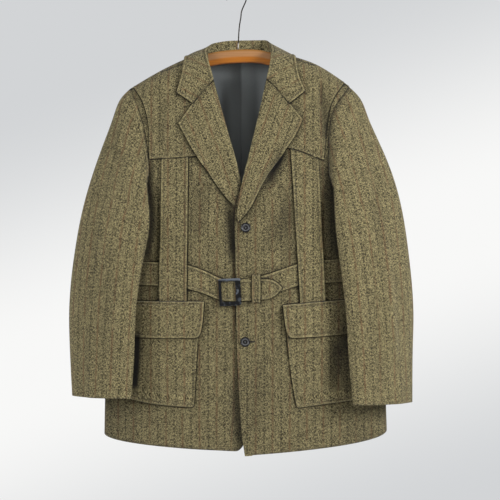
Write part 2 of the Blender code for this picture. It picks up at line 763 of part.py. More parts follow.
def add_collar_stand():
    """Stand of the collar, inside the crease, from the neck seam up."""
    grid = []
    for station in STAND_STATIONS:
        crease = collar_crease(station)
        foot = Vector([smooth_value(COLLAR_FOOT, station, column) for column in (1, 2, 3)])
        inward = Vector((NECK_MIDDLE.x - crease.x, NECK_MIDDLE.y - crease.y, 0.0)).normalized()
        top = crease + inward * (WALL + SEAM)
        grid.append([top.lerp(foot, share) for share in even(3)])
    normals = grid_normals(grid, NECK_MIDDLE)
    inner = [[p - n * WALL for p, n in zip(*lines)] for lines in zip(grid, normals)]
    add_wall("collar_stand", inner, grid)


# Lining seen inside the neck: across and height of its edges, and the pleat down its middle
LINING_TOP = ((-40, -134.5), (56, -134.5))
LINING_FOOT = ((-110, -520), (122, -520))
LINING_RIGHT = (LINING_TOP[0], (-77, -174.5), (-110, -234.5), LINING_FOOT[0])
LINING_LEFT = (LINING_TOP[1], (85, -174.5), (122, -234.5), LINING_FOOT[1])
LINING_COLUMNS = (0.0, 0.17, 0.34, 0.45, 0.5, 0.55, 0.66, 0.83, 1.0)
PLEAT_MIDDLE = 8.0
PLEAT_WIDTH = 9.0
PLEAT_DEPTH = 2.0
LINING_GAP = 2.0           # room between the lining and the back


def add_lining():
    places = patch(LINING_TOP, LINING_FOOT, LINING_RIGHT, LINING_LEFT, even(9), LINING_COLUMNS)

    def pleat(x, z):
        return -PLEAT_DEPTH * max(0.0, 1 - abs(x - PLEAT_MIDDLE) / PLEAT_WIDTH)

    add_panel("lining_back", BACK, places, -LINING - LINING_GAP, LINING, pleat, "satin")


# Sleeves below the underarm
# Height, outer edge across and depth, inner edge across and depth, half thickness
SLEEVE_RIGHT = (
    (-500, -321, -16, -172, -88, 28),
    (-580, -333, -18, -188, -90, 28),
    (-660, -338, -21, -198, -92, 27),
    (-740, -335, -26, -200, -93, 26),
    (-822, -330, -32, -206, -95, 24),
)
SLEEVE_LEFT = (
    (-500, 342, -16, 197, -88, 28),
    (-580, 353, -18, 208, -90, 28),
    (-660, 358, -21, 217, -92, 27),
    (-740, 355, -26, 221, -93, 26),
    (-835, 354, -32, 230, -95, 24),
)
SLEEVE_ROWS = (0.125, 0.25, 0.375, 0.5, 0.625, 0.75, 0.875, 1.0)   # shares of the arm below the cap
CAP_ROWS = (0.0, 0.08, 0.17, 0.28, 0.41, 0.56, 0.72, 0.87, 1.0)     # shares of the cap
FORE_SEAM = -385.0               # height where the fore seam meets the armhole, on the front
HIND_SEAM = -262.0               # height where the hind seam meets it, on the back
TOP_SHARES = even(12)
UNDER_SHARES = (0.0, 0.12, 0.25, 0.38, 0.5, 0.58, 0.65, 0.72, 0.8, 0.9, 1.0)   # closer at the underarm
LOOP_STEPS = 24
ARMHOLE_GAP = 1.0                # the sleeve starts this far from the armhole's edge
ARM_STEP = 40.0                  # step down the arm that gives the direction of the cap's end

# How the sleeve leaves the armhole, along the top sleeve and then along the under sleeve
# Share of the edge, angle out of the body's cloth, reach at the armhole, reach at the arm, angle round
# the arm from its inner edge; angles in degrees
TOP_LEAVING = (
    (0.0, 80, 70, 150, 0),
    (0.35, 35, 100, 200, 73),
    (0.75, -5, 130, 300, 156),
    (1.0, 15, 130, 280, 209),
)
UNDER_LEAVING = (
    (0.0, 15, 130, 280, 209),
    (0.35, 30, 90, 200, 228),
    (0.55, 60, 70, 140, 246),
    (0.65, 80, 60, 110, 258),
    (0.8, 90, 55, 100, 300),
    (1.0, 80, 70, 150, 360),
)


def arm_ring(table, z, angle):
    """Point round the arm at a height: angle 0 is the inner edge, then the front, then the outer edge."""
    outer_x, outer_y, inner_x, inner_y, thick = [smooth_value(table, z, column) for column in range(1, 6)]
    inner, outer = Vector((inner_x, inner_y, z)), Vector((outer_x, outer_y, z))
    half = (inner - outer) / 2
    forward = Vector((half.y, -half.x, 0.0)).normalized()
    if forward.y > 0:
        forward = -forward
    return (inner + outer) / 2 + half * math.cos(angle) + forward * thick * math.sin(angle)


def armhole_edge(armhole, face, start_z, end_z):
    """Places along one face's armhole edge between two heights."""
    heights = [start_z + (end_z - start_z) * share for share in even(LOOP_STEPS)]
    return [(face, mark(smooth_value(armhole, z), z)) for z in heights]


def points_along(places, shares):
    """Points and body normals at shares of the way along a row of places, moved out of the cloth."""
    points = [moved_out(face, place, WALL + LAID) for face, place in places]
    normals = [body_normal(face, place) for face, place in places]
    rows = [(*point, *normal) for point, normal in zip(points, normals)]
    lengths = [0.0]
    for before, after in zip(points, points[1:]):
        lengths.append(lengths[-1] + (after - before).length)
    table = [(length, *row) for length, row in zip(lengths, rows)]
    kept = [row for index, row in enumerate(table) if index == 0 or row[0] > table[index - 1][0]]
    result = []
    for share in shares:
        values = [smooth_value(kept, share * lengths[-1], column) for column in range(1, 7)]
        result.append((Vector(values[:3]), Vector(values[3:]).normalized()))
    return result


# Height, clearance of the arm from the body's inner face, for the belt, the pocket and the flap
ARM_CLEARANCE = ((-300, 3.5), (-426, 4.5), (-440, 5.5), (-520, 6), (-545, 9), (-600, 9), (-635, 13),
                 (-840, 13))
CAP_START = 0.12                 # share of the cap over which the sleeve comes clear of the armhole
SIDE_CLEARANCE = 8.0             # more room at the body's side
SIDE_SHARES = (0.75, 0.95)       # shares of the half section over which it grows
SIDE_FROM = 380.0                # fall below the hook at which it starts
TOP_CLEARANCE = 3.0              # more room for the top sleeve, which lies over the under sleeve
FORE_SHARE = 0.2                 # share of the top sleeve's edge that lies close to the fore seam
HIND_SHARE = 0.3                 # share of the under sleeve's edge that lies clear of the body's side
SIDE_SEAM_SHARE = 0.65           # share of the under sleeve's edge where it passes the side seam
UNDERARM_LIFT = 2.0              # the under sleeve starts this much higher round the underarm


def beside_body(point, share, more):
    """Point of the sleeve kept off the body, at a share of the cap."""
    across = abs(mark(point.x, point.z)[0])
    beside = ease(across, *SIDE_SHARES) * ease(-point.z, SIDE_FROM, -UNDERARM)
    room = smooth_value(ARM_CLEARANCE, point.z) + SIDE_CLEARANCE * beside + more
    moved = clear_of_body(point, room * ease(share, 0.0, CAP_START))
    return Vector((moved.x, moved.y, point.z))


def add_sleeve(side, hand, armhole_front, armhole_back, table):
    """Two-piece sleeve: a cap from the armhole down to the arm, then the arm, open at both ends."""
    ridge_z = shoulder_height(armhole_front[0][1])
    under = UNDERARM + SEAM
    top_edge = armhole_edge(armhole_front, FRONT, FORE_SEAM, ridge_z)
    top_edge += armhole_edge(armhole_back, BACK, ridge_z, HIND_SEAM)[1:]
    under_edge = armhole_edge(armhole_back, BACK, HIND_SEAM, under)
    under_edge += armhole_edge(armhole_front, FRONT, under, FORE_SEAM)[1:]
    first_z, cuff_z = table[0][0], table[-1][0]
    columns = []
    parts = (
        (TOP_SHARES, points_along(top_edge, TOP_SHARES), TOP_LEAVING),
        (UNDER_SHARES, points_along(under_edge, UNDER_SHARES), UNDER_LEAVING),
    )
    for shares, edge, leaving in parts:
        top = leaving is TOP_LEAVING
        more = TOP_CLEARANCE if top else 0.0
        for index, (start, normal) in enumerate(edge[:-1]):
            share = shares[index]
            angle = math.radians(smooth_value(leaving, share, 4))
            along = (edge[index + 1][0] - edge[max(index - 1, 0)][0]).normalized()
            out = hand * along.cross(normal)
            lean = math.radians(smooth_value(leaving, share, 1))
            leave = (out * math.cos(lean) + normal * math.sin(lean)) * smooth_value(leaving, share, 2)
            end = arm_ring(table, first_z, angle)
            below = arm_ring(table, first_z - ARM_STEP, angle)
            arrive = (below - end).normalized() * smooth_value(leaving, share, 3)
            start = start + out * ARMHOLE_GAP
            if not top:
                lift = UNDERARM_LIFT * ease(share, HIND_SHARE, SIDE_SEAM_SHARE)
                start = clear_of_body(start, ON_FRONT + lift)
            column = []
            for t in CAP_ROWS:
                bend = (2 * t ** 3 - 3 * t ** 2 + 1) * start + (t ** 3 - 2 * t ** 2 + t) * leave
                bend += (3 * t ** 2 - 2 * t ** 3) * end + (t ** 3 - t ** 2) * arrive
                near = bend.z < UNDERARM or (share < FORE_SHARE if top else share > HIND_SHARE)
                column.append(beside_body(bend, t, more) if near else bend)
            for drop_share in SLEEVE_ROWS:
                ring_point = arm_ring(table, first_z + (cuff_z - first_z) * drop_share, angle)
                column.append(beside_body(ring_point, 1.0, more))
            columns.append(column)
    count = len(columns)
    rows = len(columns[0])
    inner = [[columns[column][row] for column in range(count)] for row in range(rows)]
    outer = []
    for row, line in enumerate(inner):
        outer_line = []
        for column, point in enumerate(line):
            around = line[(column + 1) % count] - line[column - 1]
            along = inner[min(row + 1, rows - 1)][column] - inner[max(row - 1, 0)][column]
            outer_line.append(point + hand * around.cross(along).normalized() * WALL)
        outer.append(outer_line)
    split = len(TOP_SHARES) - 1
    halves = {"sleeve_top_" + side: range(0, split + 1), "sleeve_under_" + side: range(split, count + 1)}
    for name, span in halves.items():
        walls = []
        for grid in (inner, outer):
            picked = []
            for line in grid:
                kept = [line[column % count].copy() for column in span]
                for end, column, way in ((0, span[0], 1), (-1, span[-1], -1)):
                    around = line[(column + 1) % count] - line[(column - 1) % count]
                    kept[end] += around.normalized() * way * SEAM / 2
                picked.append(kept)
            walls.append(picked)
        add_wall(name, *walls)


# Hanger: across, fall of the wood's top below the shoulder line, depth of the wood
HANGER_BAR = (
    (-202, 3.0, 17),
    (-188, 2.8, 23),
    (-160, 2.6, 27),
    (-90, 2.6, 28),
    (-55, 6.1, 28),
    (3, 15.3, 28.5),
    (66, 2.8, 28),
    (96, 2.6, 28),
    (170, 2.6, 27),
    (200, 2.8, 23),
    (214, 3.0, 17),
)
BAR_HALF = 6.0             # half the thickness of the wood
BAR_ROUND = 2.5            # rounding of its long edges
BAR_STATIONS = 26


def add_hanger_bar():
    """Arched wooden bar under both shoulders."""
    rows = []
    start, end = HANGER_BAR[0][0], HANGER_BAR[-1][0]
    flat, full = BAR_HALF - BAR_ROUND, BAR_HALF
    for share in even(BAR_STATIONS):
        x = start + (end - start) * share
        fall, deep = [smooth_value(HANGER_BAR, x, column) for column in (1, 2)]
        top = shoulder_height(x) - fall
        foot = top - deep
        profile = ((-flat, top), (flat, top), (full, top - BAR_ROUND), (full, foot + BAR_ROUND),
                   (flat, foot), (-flat, foot), (-full, foot + BAR_ROUND), (-full, top - BAR_ROUND))
        rows.append([Vector((x, y, z)) for y, z in profile])
    add_tube("hanger_bar", rows, "varnished_wood")


def add_tube(name, rings, finish_name):
    """Solid through a row of rings, closed at both ends."""
    count = len(rings[0])
    points = [point for ring in rings for point in ring]
    faces = grid_faces(len(rings), count, 0, ring=True)
    faces.append(tuple(range(count)))
    faces.append(tuple(len(points) - count + index for index in range(count)))
    add_piece(name, points, faces, finish_name)


# Hook: a wire up from the bar, bent over to the viewer's left round the rail it hangs on
WIRE_RADIUS = 1.4
WIRE_SIDES = 8
HOOK_BEND = 20.0           # radius of the bend, to the middle of the wire
HOOK_START = math.radians(-8)
HOOK_TURN = math.radians(194)
HOOK_STEPS = 16
HOOK_SHANK = ((3.4, -121.1), (4.5, -88), (6.5, -67), (9.4, -56), (9.2, -44), (16.5, -29))


def add_hanger_hook():
    """Bent wire whose inside top is the origin."""
    middle_z = WIRE_RADIUS - HOOK_BEND
    route = [Vector((x, 0.0, z)) for x, z in HOOK_SHANK]
    for share in even(HOOK_STEPS):
        angle = HOOK_START + HOOK_TURN * share
        route.append(Vector((HOOK_BEND * math.cos(angle), 0.0, middle_z + HOOK_BEND * math.sin(angle))))
    rings = []
    for index, point in enumerate(route):
        along = (route[min(index + 1, len(route) - 1)] - route[max(index - 1, 0)]).normalized()
        aside = Vector((0.0, 1.0, 0.0))
        beside = along.cross(aside)
        turns = [2 * math.pi * side / WIRE_SIDES for side in range(WIRE_SIDES)]
        rings.append([point + (aside * math.cos(t) + beside * math.sin(t)) * WIRE_RADIUS for t in turns])
    for index in range(WIRE_SIDES):
        rings[0][index].z = HOOK_SHANK[0][1]
    add_tube("hanger_hook", rings, "steel_wire")


# Buckle: the frame on the tongue, turned a little
BUCKLE_MIDDLE = (-12.3, -613.4)
BUCKLE_SIZE = (44.5, 54.5)
BUCKLE_BARS = {"left": 6.0, "right": 11.0, "top": 8.5, "bottom": 6.0}
BUCKLE_CORNER = 4.0
BUCKLE_THICK = 3.6
BUCKLE_EDGE = 0.9
BUCKLE_TURN = math.radians(3)
BUCKLE_SEAT = ON_FRONT + 2 * (LAYER + LAID) + 0.5   # height of its back above the body's inner face


def rounded_box(left, right, foot, top, corner, steps=3):
    """Outline of a rectangle with round corners."""
    outline = []
    corners = ((right - corner, top - corner, 0), (left + corner, top - corner, 90),
               (left + corner, foot + corner, 180), (right - corner, foot + corner, 270))
    for x, z, start in corners:
        for share in even(steps):
            angle = math.radians(start + 90 * share)
            outline.append((x + corner * math.cos(angle), z + corner * math.sin(angle)))
    return outline


def add_buckle():
    """Rectangular frame with bevelled edges, lying on the belt."""
    wide, high = BUCKLE_SIZE[0] / 2, BUCKLE_SIZE[1] / 2
    outer = rounded_box(-wide, wide, -high, high, BUCKLE_CORNER)
    window = (-wide + BUCKLE_BARS["left"], wide - BUCKLE_BARS["right"],
              -high + BUCKLE_BARS["bottom"], high - BUCKLE_BARS["top"])
    inner = rounded_box(*window, BUCKLE_CORNER / 2)
    outer_low = rounded_box(-wide + BUCKLE_EDGE, wide - BUCKLE_EDGE, -high + BUCKLE_EDGE, high - BUCKLE_EDGE,
                            BUCKLE_CORNER - BUCKLE_EDGE)
    inner_low = rounded_box(window[0] - BUCKLE_EDGE, window[1] + BUCKLE_EDGE, window[2] - BUCKLE_EDGE,
                            window[3] + BUCKLE_EDGE, BUCKLE_CORNER / 2 + BUCKLE_EDGE)
    place = mark(*BUCKLE_MIDDLE)
    seat = moved_out(FRONT, place, BUCKLE_SEAT)
    out = body_normal(FRONT, place)
    level = Vector((math.cos(BUCKLE_TURN), 0.0, math.sin(BUCKLE_TURN)))
    upright = level.cross(out).normalized()
    sideways = out.cross(upright)
    rings = []
    for outline, height in ((outer_low, 0.0), (outer, BUCKLE_EDGE), (outer, BUCKLE_THICK - BUCKLE_EDGE),
                            (outer_low, BUCKLE_THICK), (inner_low, BUCKLE_THICK),
                            (inner, BUCKLE_THICK - BUCKLE_EDGE), (inner, BUCKLE_EDGE), (inner_low, 0.0)):
        rings.append([seat + sideways * x + upright * z + out * height for x, z in outline])
    count = len(outer)
    points = [point for ring in rings for point in ring]
    faces = grid_faces(len(rings), count, 0, ring=True)
    last = (len(rings) - 1) * count
    for index in range(count):
        beside = (index + 1) % count
        faces.append((last + index, last + beside, beside, index))
    add_piece("buckle", points, faces, "dark_plastic")


# Buttons: radius, height of the turned profile from the back's middle over the rim to the face
BUTTON_PROFILE = ((6.5, 0.0), (9.0, 0.6), (10.0, 1.6), (9.6, 2.9), (8.4, 3.3), (7.2, 2.7), (5.4, 2.4))
BUTTON_SIDES = 24
BUTTON_HOLE = 1.1          # radius of a hole
BUTTON_HOLE_OUT = 2.6      # distance of the holes from the middle
BUTTON_CUT = 12.0          # length of the cutter, past both faces
BUTTON_PLACES = {"button_upper": (19.0, -485.6), "button_lower": (18.0, -712.4)}


def add_button(name, x, z):
    """Turned button with a raised rim and four sewing holes."""
    seat = moved_out(FRONT, mark(x, z), ON_FRONT)
    rings = []
    for radius, height in BUTTON_PROFILE:
        turns = [2 * math.pi * side / BUTTON_SIDES for side in range(BUTTON_SIDES)]
        rings.append([seat + Vector((radius * math.cos(t), -height, radius * math.sin(t))) for t in turns])
    add_tube(name, rings, "dark_horn")
    cutter_mesh = bmesh.new()
    for turn in range(4):
        angle = math.radians(45 + 90 * turn)
        hole = Vector((BUTTON_HOLE_OUT * math.cos(angle), 0.0, BUTTON_HOLE_OUT * math.sin(angle)))
        radius = BUTTON_HOLE * METRES_PER_MM
        made = bmesh.ops.create_cone(cutter_mesh, cap_ends=True, segments=8, radius1=radius, radius2=radius,
                                     depth=BUTTON_CUT * METRES_PER_MM)
        bmesh.ops.rotate(cutter_mesh, verts=made["verts"], matrix=Matrix.Rotation(math.pi / 2, 3, "X"))
        bmesh.ops.translate(cutter_mesh, verts=made["verts"], vec=(seat + hole) * METRES_PER_MM)
    mesh = bpy.data.meshes.new(name + "_holes")
    cutter_mesh.to_mesh(mesh)
    cutter_mesh.free()
    cutter = bpy.data.objects.new(name + "_holes", mesh)
    cutter.hide_render = True
    cutter.display_type = "WIRE"
    bpy.context.scene.collection.objects.link(cutter)
    cut = bpy.data.objects[name].modifiers.new("holes", "BOOLEAN")
    cut.operation = "DIFFERENCE"
    cut.object = cutter


def clear_scene():
    for thing in list(bpy.data.objects):
        bpy.data.objects.remove(thing, do_unlink=True)


def main():
    clear_scene()
    add_fronts()
    add_back()
    add_yoke("yoke_right", YOKE_RIGHT, underlap)
    add_yoke("yoke_left", YOKE_LEFT)
    add_strap("strap_right", STRAP_RIGHT, YOKE_RIGHT, FLAP_RIGHT)
    add_strap("strap_left", STRAP_LEFT, YOKE_LEFT, FLAP_LEFT)
    add_pocket("pocket_right", POCKET_RIGHT)
    add_pocket("pocket_left", POCKET_LEFT)
    add_flap("flap_right", FLAP_RIGHT)
    add_flap("flap_left", FLAP_LEFT)
    add_belt()
    add_belt_back()
    add_keeper()
    add_lapel("lapel_right", LAPEL_RIGHT, -405.0, underlap)
    add_lapel("lapel_left", LAPEL_LEFT, -462.0)
    add_collar_fall()
    add_collar_stand()
    add_lining()
    add_sleeve("right", -1, ARMHOLE_FRONT_RIGHT, ARMHOLE_BACK_RIGHT, SLEEVE_RIGHT)
    add_sleeve("left", 1, ARMHOLE_FRONT_LEFT, ARMHOLE_BACK_LEFT, SLEEVE_LEFT)
    add_hanger_bar()
    add_hanger_hook()
    add_buckle()
    for name, (x, z) in BUTTON_PLACES.items():
        add_button(name, x, z)


main()
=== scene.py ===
"""Looks of a tweed shooting jacket that hangs, buttoned and belted, on a wooden hanger.

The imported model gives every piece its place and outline. Each piece of cloth is laid over its solid as
a thin shell with its weave, stitched edges and soft folds; wood, wire, horn and plastic are finished
on smooth copies of their solids. Sizes are in metres, and in millimetres where a name says so.
"""

import json
import math

import bmesh
import bpy
import numpy as np
from bpy.props import FloatProperty, FloatVectorProperty, PointerProperty
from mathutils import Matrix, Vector
from mathutils.bvhtree import BVHTree
from mathutils.kdtree import KDTree

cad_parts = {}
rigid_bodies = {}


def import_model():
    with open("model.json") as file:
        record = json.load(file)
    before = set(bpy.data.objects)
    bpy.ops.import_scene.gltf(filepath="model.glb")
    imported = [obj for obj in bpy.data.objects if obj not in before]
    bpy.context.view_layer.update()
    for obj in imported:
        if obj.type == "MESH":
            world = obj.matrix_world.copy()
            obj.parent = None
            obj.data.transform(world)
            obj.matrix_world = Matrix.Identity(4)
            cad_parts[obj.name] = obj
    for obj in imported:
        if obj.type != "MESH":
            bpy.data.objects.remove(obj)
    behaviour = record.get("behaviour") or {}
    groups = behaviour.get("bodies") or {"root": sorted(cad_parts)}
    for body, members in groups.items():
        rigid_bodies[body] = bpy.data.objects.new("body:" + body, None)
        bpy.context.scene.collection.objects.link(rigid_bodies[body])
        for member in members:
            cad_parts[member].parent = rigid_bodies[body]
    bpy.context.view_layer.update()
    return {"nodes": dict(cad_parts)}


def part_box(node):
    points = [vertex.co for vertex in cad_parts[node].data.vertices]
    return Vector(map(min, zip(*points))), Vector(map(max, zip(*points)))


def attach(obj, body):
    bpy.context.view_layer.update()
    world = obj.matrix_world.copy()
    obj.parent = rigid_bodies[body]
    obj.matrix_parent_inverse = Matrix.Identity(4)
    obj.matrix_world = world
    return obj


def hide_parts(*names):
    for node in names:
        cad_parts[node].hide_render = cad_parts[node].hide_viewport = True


bl_info = {
    "name": "Tweed shooting jacket",
    "version": (1, 0, 0),
    "blender": (4, 5, 0),
    "location": "3D View > Sidebar > Jacket",
    "description": "Dresses the packed jacket in tweed, lining, wood, wire, horn and plastic",
    "category": "Object",
}

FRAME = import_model()
MM = 0.001
FAR_FROM_EDGE_MM = 60.0


def linear(hex_colour):
    """Linear colour of an sRGB hex value."""
    parts = [int(hex_colour[i:i + 2], 16) / 255 for i in (1, 3, 5)]
    return tuple(p / 12.92 if p <= 0.04045 else ((p + 0.055) / 1.055) ** 2.4 for p in parts)


def colour(label, note, hex_colour):
    """A colour that a user may change."""
    return FloatVectorProperty(name=label, description=note, subtype="COLOR", size=3, min=0, max=1,
                               default=linear(hex_colour))


def length(label, note, millimetres):
    """A length that a user may change."""
    return FloatProperty(name=label, description=note, unit="LENGTH", default=millimetres * MM,
                         precision=5)


def power(label, note, watts):
    """The power of a light that a user may change."""
    return FloatProperty(name=label, description=note, unit="POWER", default=watts)


class JacketTweed(bpy.types.PropertyGroup):
    """Weave of the tweed."""

    dark: colour("Dark yarn", "Darkest yarn of the weave", "#2C2617")
    brown: colour("Brown yarn", "Ground yarn of the weave", "#5B5238")
    green: colour("Green yarn", "Middle yarn of the weave", "#7A714C")
    light: colour("Light yarn", "Lightest yarn of the weave", "#B5A87A")
    rust: colour("Rust yarn", "Yarn of the thin stripes", "#7A5236")
    stripe_spacing: length("Stripe spacing", "Distance between two rust stripes", 34.0)
    stripe_width: length("Stripe width", "Width of a rust stripe", 3.0)
    rib_width: length("Herringbone rib", "Width of one rib of the herringbone", 10.0)
    twill_pitch: length("Twill pitch", "Distance between two twill lines, drawn coarse", 4.6)
    fleck: length("Fleck", "Size of the flecks of yarn, drawn coarse", 0.95)


class JacketSewing(bpy.types.PropertyGroup):
    """Stitching and folds."""

    inset: length("Stitch inset", "Distance of the stitching from the edge", 5.0)
    spacing: length("Stitch spacing", "Distance from one stitch to the next", 3.4)
    stitch: length("Stitch length", "Length of one stitch", 2.4)
    thread: length("Thread", "Thickness of the thread", 0.55)
    edge_swell: length("Edge swell", "How far a turned edge stands up", 1.5)
    fold_share: FloatProperty(name="Folds", description="Depth of the soft folds", default=1.0)


class JacketFinishes(bpy.types.PropertyGroup):
    """Colours of the other materials."""

    satin: colour("Satin", "Lining", "#636768")
    # The hanger's colours go across its round bar as painted light and shade: a paler band along its face,
    # where the print's place is bare, orange and darker below it, darkest at its lower edge
    wood: colour("Wood", "Top edge of the varnished hanger", "#B07933")
    wood_shaded_half: colour("Thick varnish", "Lower half of the hanger", "#C4751B")
    wood_bare_and_lit_band: colour("Thin varnish", "Band along the hanger", "#BE8A5A")
    wood_shaded_edge: colour("Wood grain", "Lower edge of the hanger", "#8A4E14")
    wire: colour("Wire", "Hook of the hanger", "#35302D")
    # the bright wire is a painted highlight at the foot of the hook
    wire_highlight: colour("Bright wire", "Foot of the hook, where the collar rubs it", "#A39D97")
    plastic: colour("Plastic", "Buckle", "#0B0C0E")
    # the marbling colour is also the painted highlight on the buckle's upper bar
    marble: colour("Marbling", "Paler clouds in the buckle", "#6E747C")
    horn: colour("Horn", "Buttons", "#22252A")
    thread: colour("Thread", "Stitching", "#7C7457")
    twist: colour("Twist", "Thread of the buttons and buttonhole", "#1F1D18")


class JacketStage(bpy.types.PropertyGroup):
    """Light and ground."""

    surround: colour("Surround", "Pale surround", "#D2D4D6")
    # the palest band is painted light on the surround that the camera sees; its colour also lights the
    # jacket from all round
    surround_light: colour("Pale band", "Palest band of the surround", "#F8F8F7")
    ambient: FloatProperty(name="Ambient", description="Strength of the light from all round", default=0.27)
    key: power("Key light", "Power of the large soft light", 59.0)
    fill: power("Fill light", "Power of the light from the side", 35.0)
    back: power("Back light", "Power of the light behind the jacket", 30.0)
    floor_drop: length("Floor", "Depth of the floor below the hook", 1480.0)


SIDES = ("right", "left")


def cloth_pieces():
    """A row for each cloth piece.

    It says which face shows, the subdivision level, the direction of the grain, how the piece is held and
    on what, what it is sewn to with a plain seam, and what its hidden face is made of.
    """
    rows = {
        "back": ("larger", 2, "upright", "hung", ("hanger_bar",), None, "satin"),
        "lining_back": ("front", 3, "upright", "hung", ("back",), None, "satin"),
        "collar_fall": ("larger", 3, "upright", "folded", ("collar_stand",),
                        ("lapel_right", "lapel_left", "collar_stand"), "tweed"),
        "collar_stand": ("front", 3, "upright", "folded", ("back",), None, "tweed"),
        "belt_back": ("larger", 2, "upright", "laid", ("back",), (), "tweed"),
        "belt_keeper": ("front", 3, "upright", "folded", ("belt_right",), (), "tweed"),
    }
    for side in SIDES:
        front, sleeve, yoke = "front_" + side, "sleeve_top_" + side, "yoke_" + side
        pocket, flap = "pocket_" + side, "flap_" + side
        edge = "front edge" if side == "left" else None
        rows[front] = ("front", 3, "upright", "hung", ("hanger_bar",), edge, "satin")
        rows[sleeve] = ("larger", 3, "length", "hung", (front, "back"), None, "satin")
        rows["sleeve_under_" + side] = ("larger", 3, "length", "hung", (sleeve,), None, "satin")
        rows["lapel_" + side] = ("front", 3, "length", "folded", (front,), (front, "collar_fall"), "tweed")
        rows[yoke] = ("front", 2, "upright", "laid", (front,), ("back", sleeve), "tweed")
        rows["strap_" + side] = ("front", 3, "upright", "laid", (front,), (yoke, flap), "tweed")
        rows["belt_" + side] = ("front", 3, "upright", "laid", (front, "buckle"), (), "tweed")
        rows[pocket] = ("front", 3, "upright", "laid", (front,), (), "tweed")
        rows[flap] = ("front", 3, "upright", "laid", (pocket,), (), "tweed")
    return rows


CLOTH = cloth_pieces()
SEWN_TO = 5                          # where a row says what its piece is sewn to
OUTER, INNER, RIM = 0, 1, 2          # material index of the faces of a cage
MERGE = 0.00001
RIM_ANGLE = math.radians(60)
FLAT_ANGLE = math.radians(40)
CORNER_ANGLE = math.radians(50)
SEAM_REACH_MM = 4.0                  # an outline this close to a piece it is sewn to has no stitching
SPAN_STEP_MM = 6.0                   # step of the heights at which a piece's width is read
ROUND_CORNER = 0.022                 # corners of flaps and pockets this close to their foot are round
HARD_LEVEL = 2                       # subdivision level of hard pieces
HARD_CREASE = 0.75                   # how crisp the edges of hard pieces stay
FRONT_EDGE_TOP = 0.012               # the front edge is stitched this far up beside the lapel
FRONT_EDGE_SIDE = 0.030              # and no farther across than this


def merged(node):
    """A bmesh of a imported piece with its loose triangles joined."""
    cage = bmesh.new()
    cage.from_mesh(FRAME["nodes"][node].data)
    bmesh.ops.remove_doubles(cage, verts=cage.verts, dist=MERGE)
    bmesh.ops.join_triangles(cage, faces=cage.faces, angle_face_threshold=FLAT_ANGLE,
                             angle_shape_threshold=RIM_ANGLE)
    return cage


def face_groups(cage):
    """Faces of a cage in groups that sharp edges part, the largest first."""
    seen = set()
    groups = []
    for start in cage.faces:
        if start in seen:
            continue
        seen.add(start)
        group = [start]
        for face in group:
            for edge in face.edges:
                if edge.calc_face_angle(math.pi) > RIM_ANGLE:
                    continue
                for other in edge.link_faces:
                    if other not in seen:
                        seen.add(other)
                        group.append(other)
        groups.append(group)
    return sorted(groups, key=lambda group: -sum(face.calc_area() for face in group))


def mark_faces(cage, shows):
    """Sets each face's material index: the face that shows, the hidden face, or the rim."""
    groups = face_groups(cage)
    for face in cage.faces:
        face.material_index = RIM
    first, second = groups[0], groups[1]
    if shows == "front" and sum(f.normal.y * f.calc_area() for f in first) > 0:
        first, second = second, first
    for face in first:
        face.material_index = OUTER
    for face in second:
        face.material_index = INNER


def set_creases(cage, round_below):
    """Keeps rims crisp, and the corners of the outline too, apart from those below a height."""
    crease = cage.edges.layers.float.new("crease_edge")
    for edge in cage.edges:
        kinds = {face.material_index for face in edge.link_faces}
        if len(kinds) == 2:
            edge[crease] = 1.0
        elif kinds == {RIM} and edge.calc_face_angle(0) > CORNER_ANGLE:
            if edge.verts[0].co.z > round_below:
                edge[crease] = 1.0


def spread_to_all(cage, values):
    """Gives each corner of a cage the value of the nearest corner of the face that shows."""
    verts = list(values)
    tree = point_tree([vert.co for vert in verts])
    return np.array([values[verts[tree.find(vert.co)[1]]] for vert in cage.verts])


def linked(name, data):
    """A new object in the scene."""
    made = bpy.data.objects.new(name, data)
    bpy.context.scene.collection.objects.link(made)
    return made


def finished_mesh(rough):
    """The mesh an object comes to, shaded smooth; the object and its data are removed."""
    mesh = bpy.data.meshes.new_from_object(rough.evaluated_get(bpy.context.evaluated_depsgraph_get()))
    data = rough.data
    bpy.data.objects.remove(rough)
    bpy.data.batch_remove([data])
    mesh.shade_smooth()
    return mesh


def turned_to(flat, target):
    """Turns a flat shape to lie as nearly as it can on a target, mirrored if need be."""
    middle, aim = flat.mean(axis=0), target.mean(axis=0)
    left, _, right = np.linalg.svd((flat - middle).T @ (target - aim))
    return (flat - middle) @ (left @ right) + aim


def turned_upright(flat):
    """Turns a flat shape so that its long way is upright."""
    middle = flat.mean(axis=0)
    _, _, ways = np.linalg.svd(flat - middle, full_matrices=False)
    way = ways[0] if ways[0][1] > 0 else -ways[0]
    turn = np.array([[way[1], way[0]], [-way[0], way[1]]])
    return (flat - middle) @ turn + middle


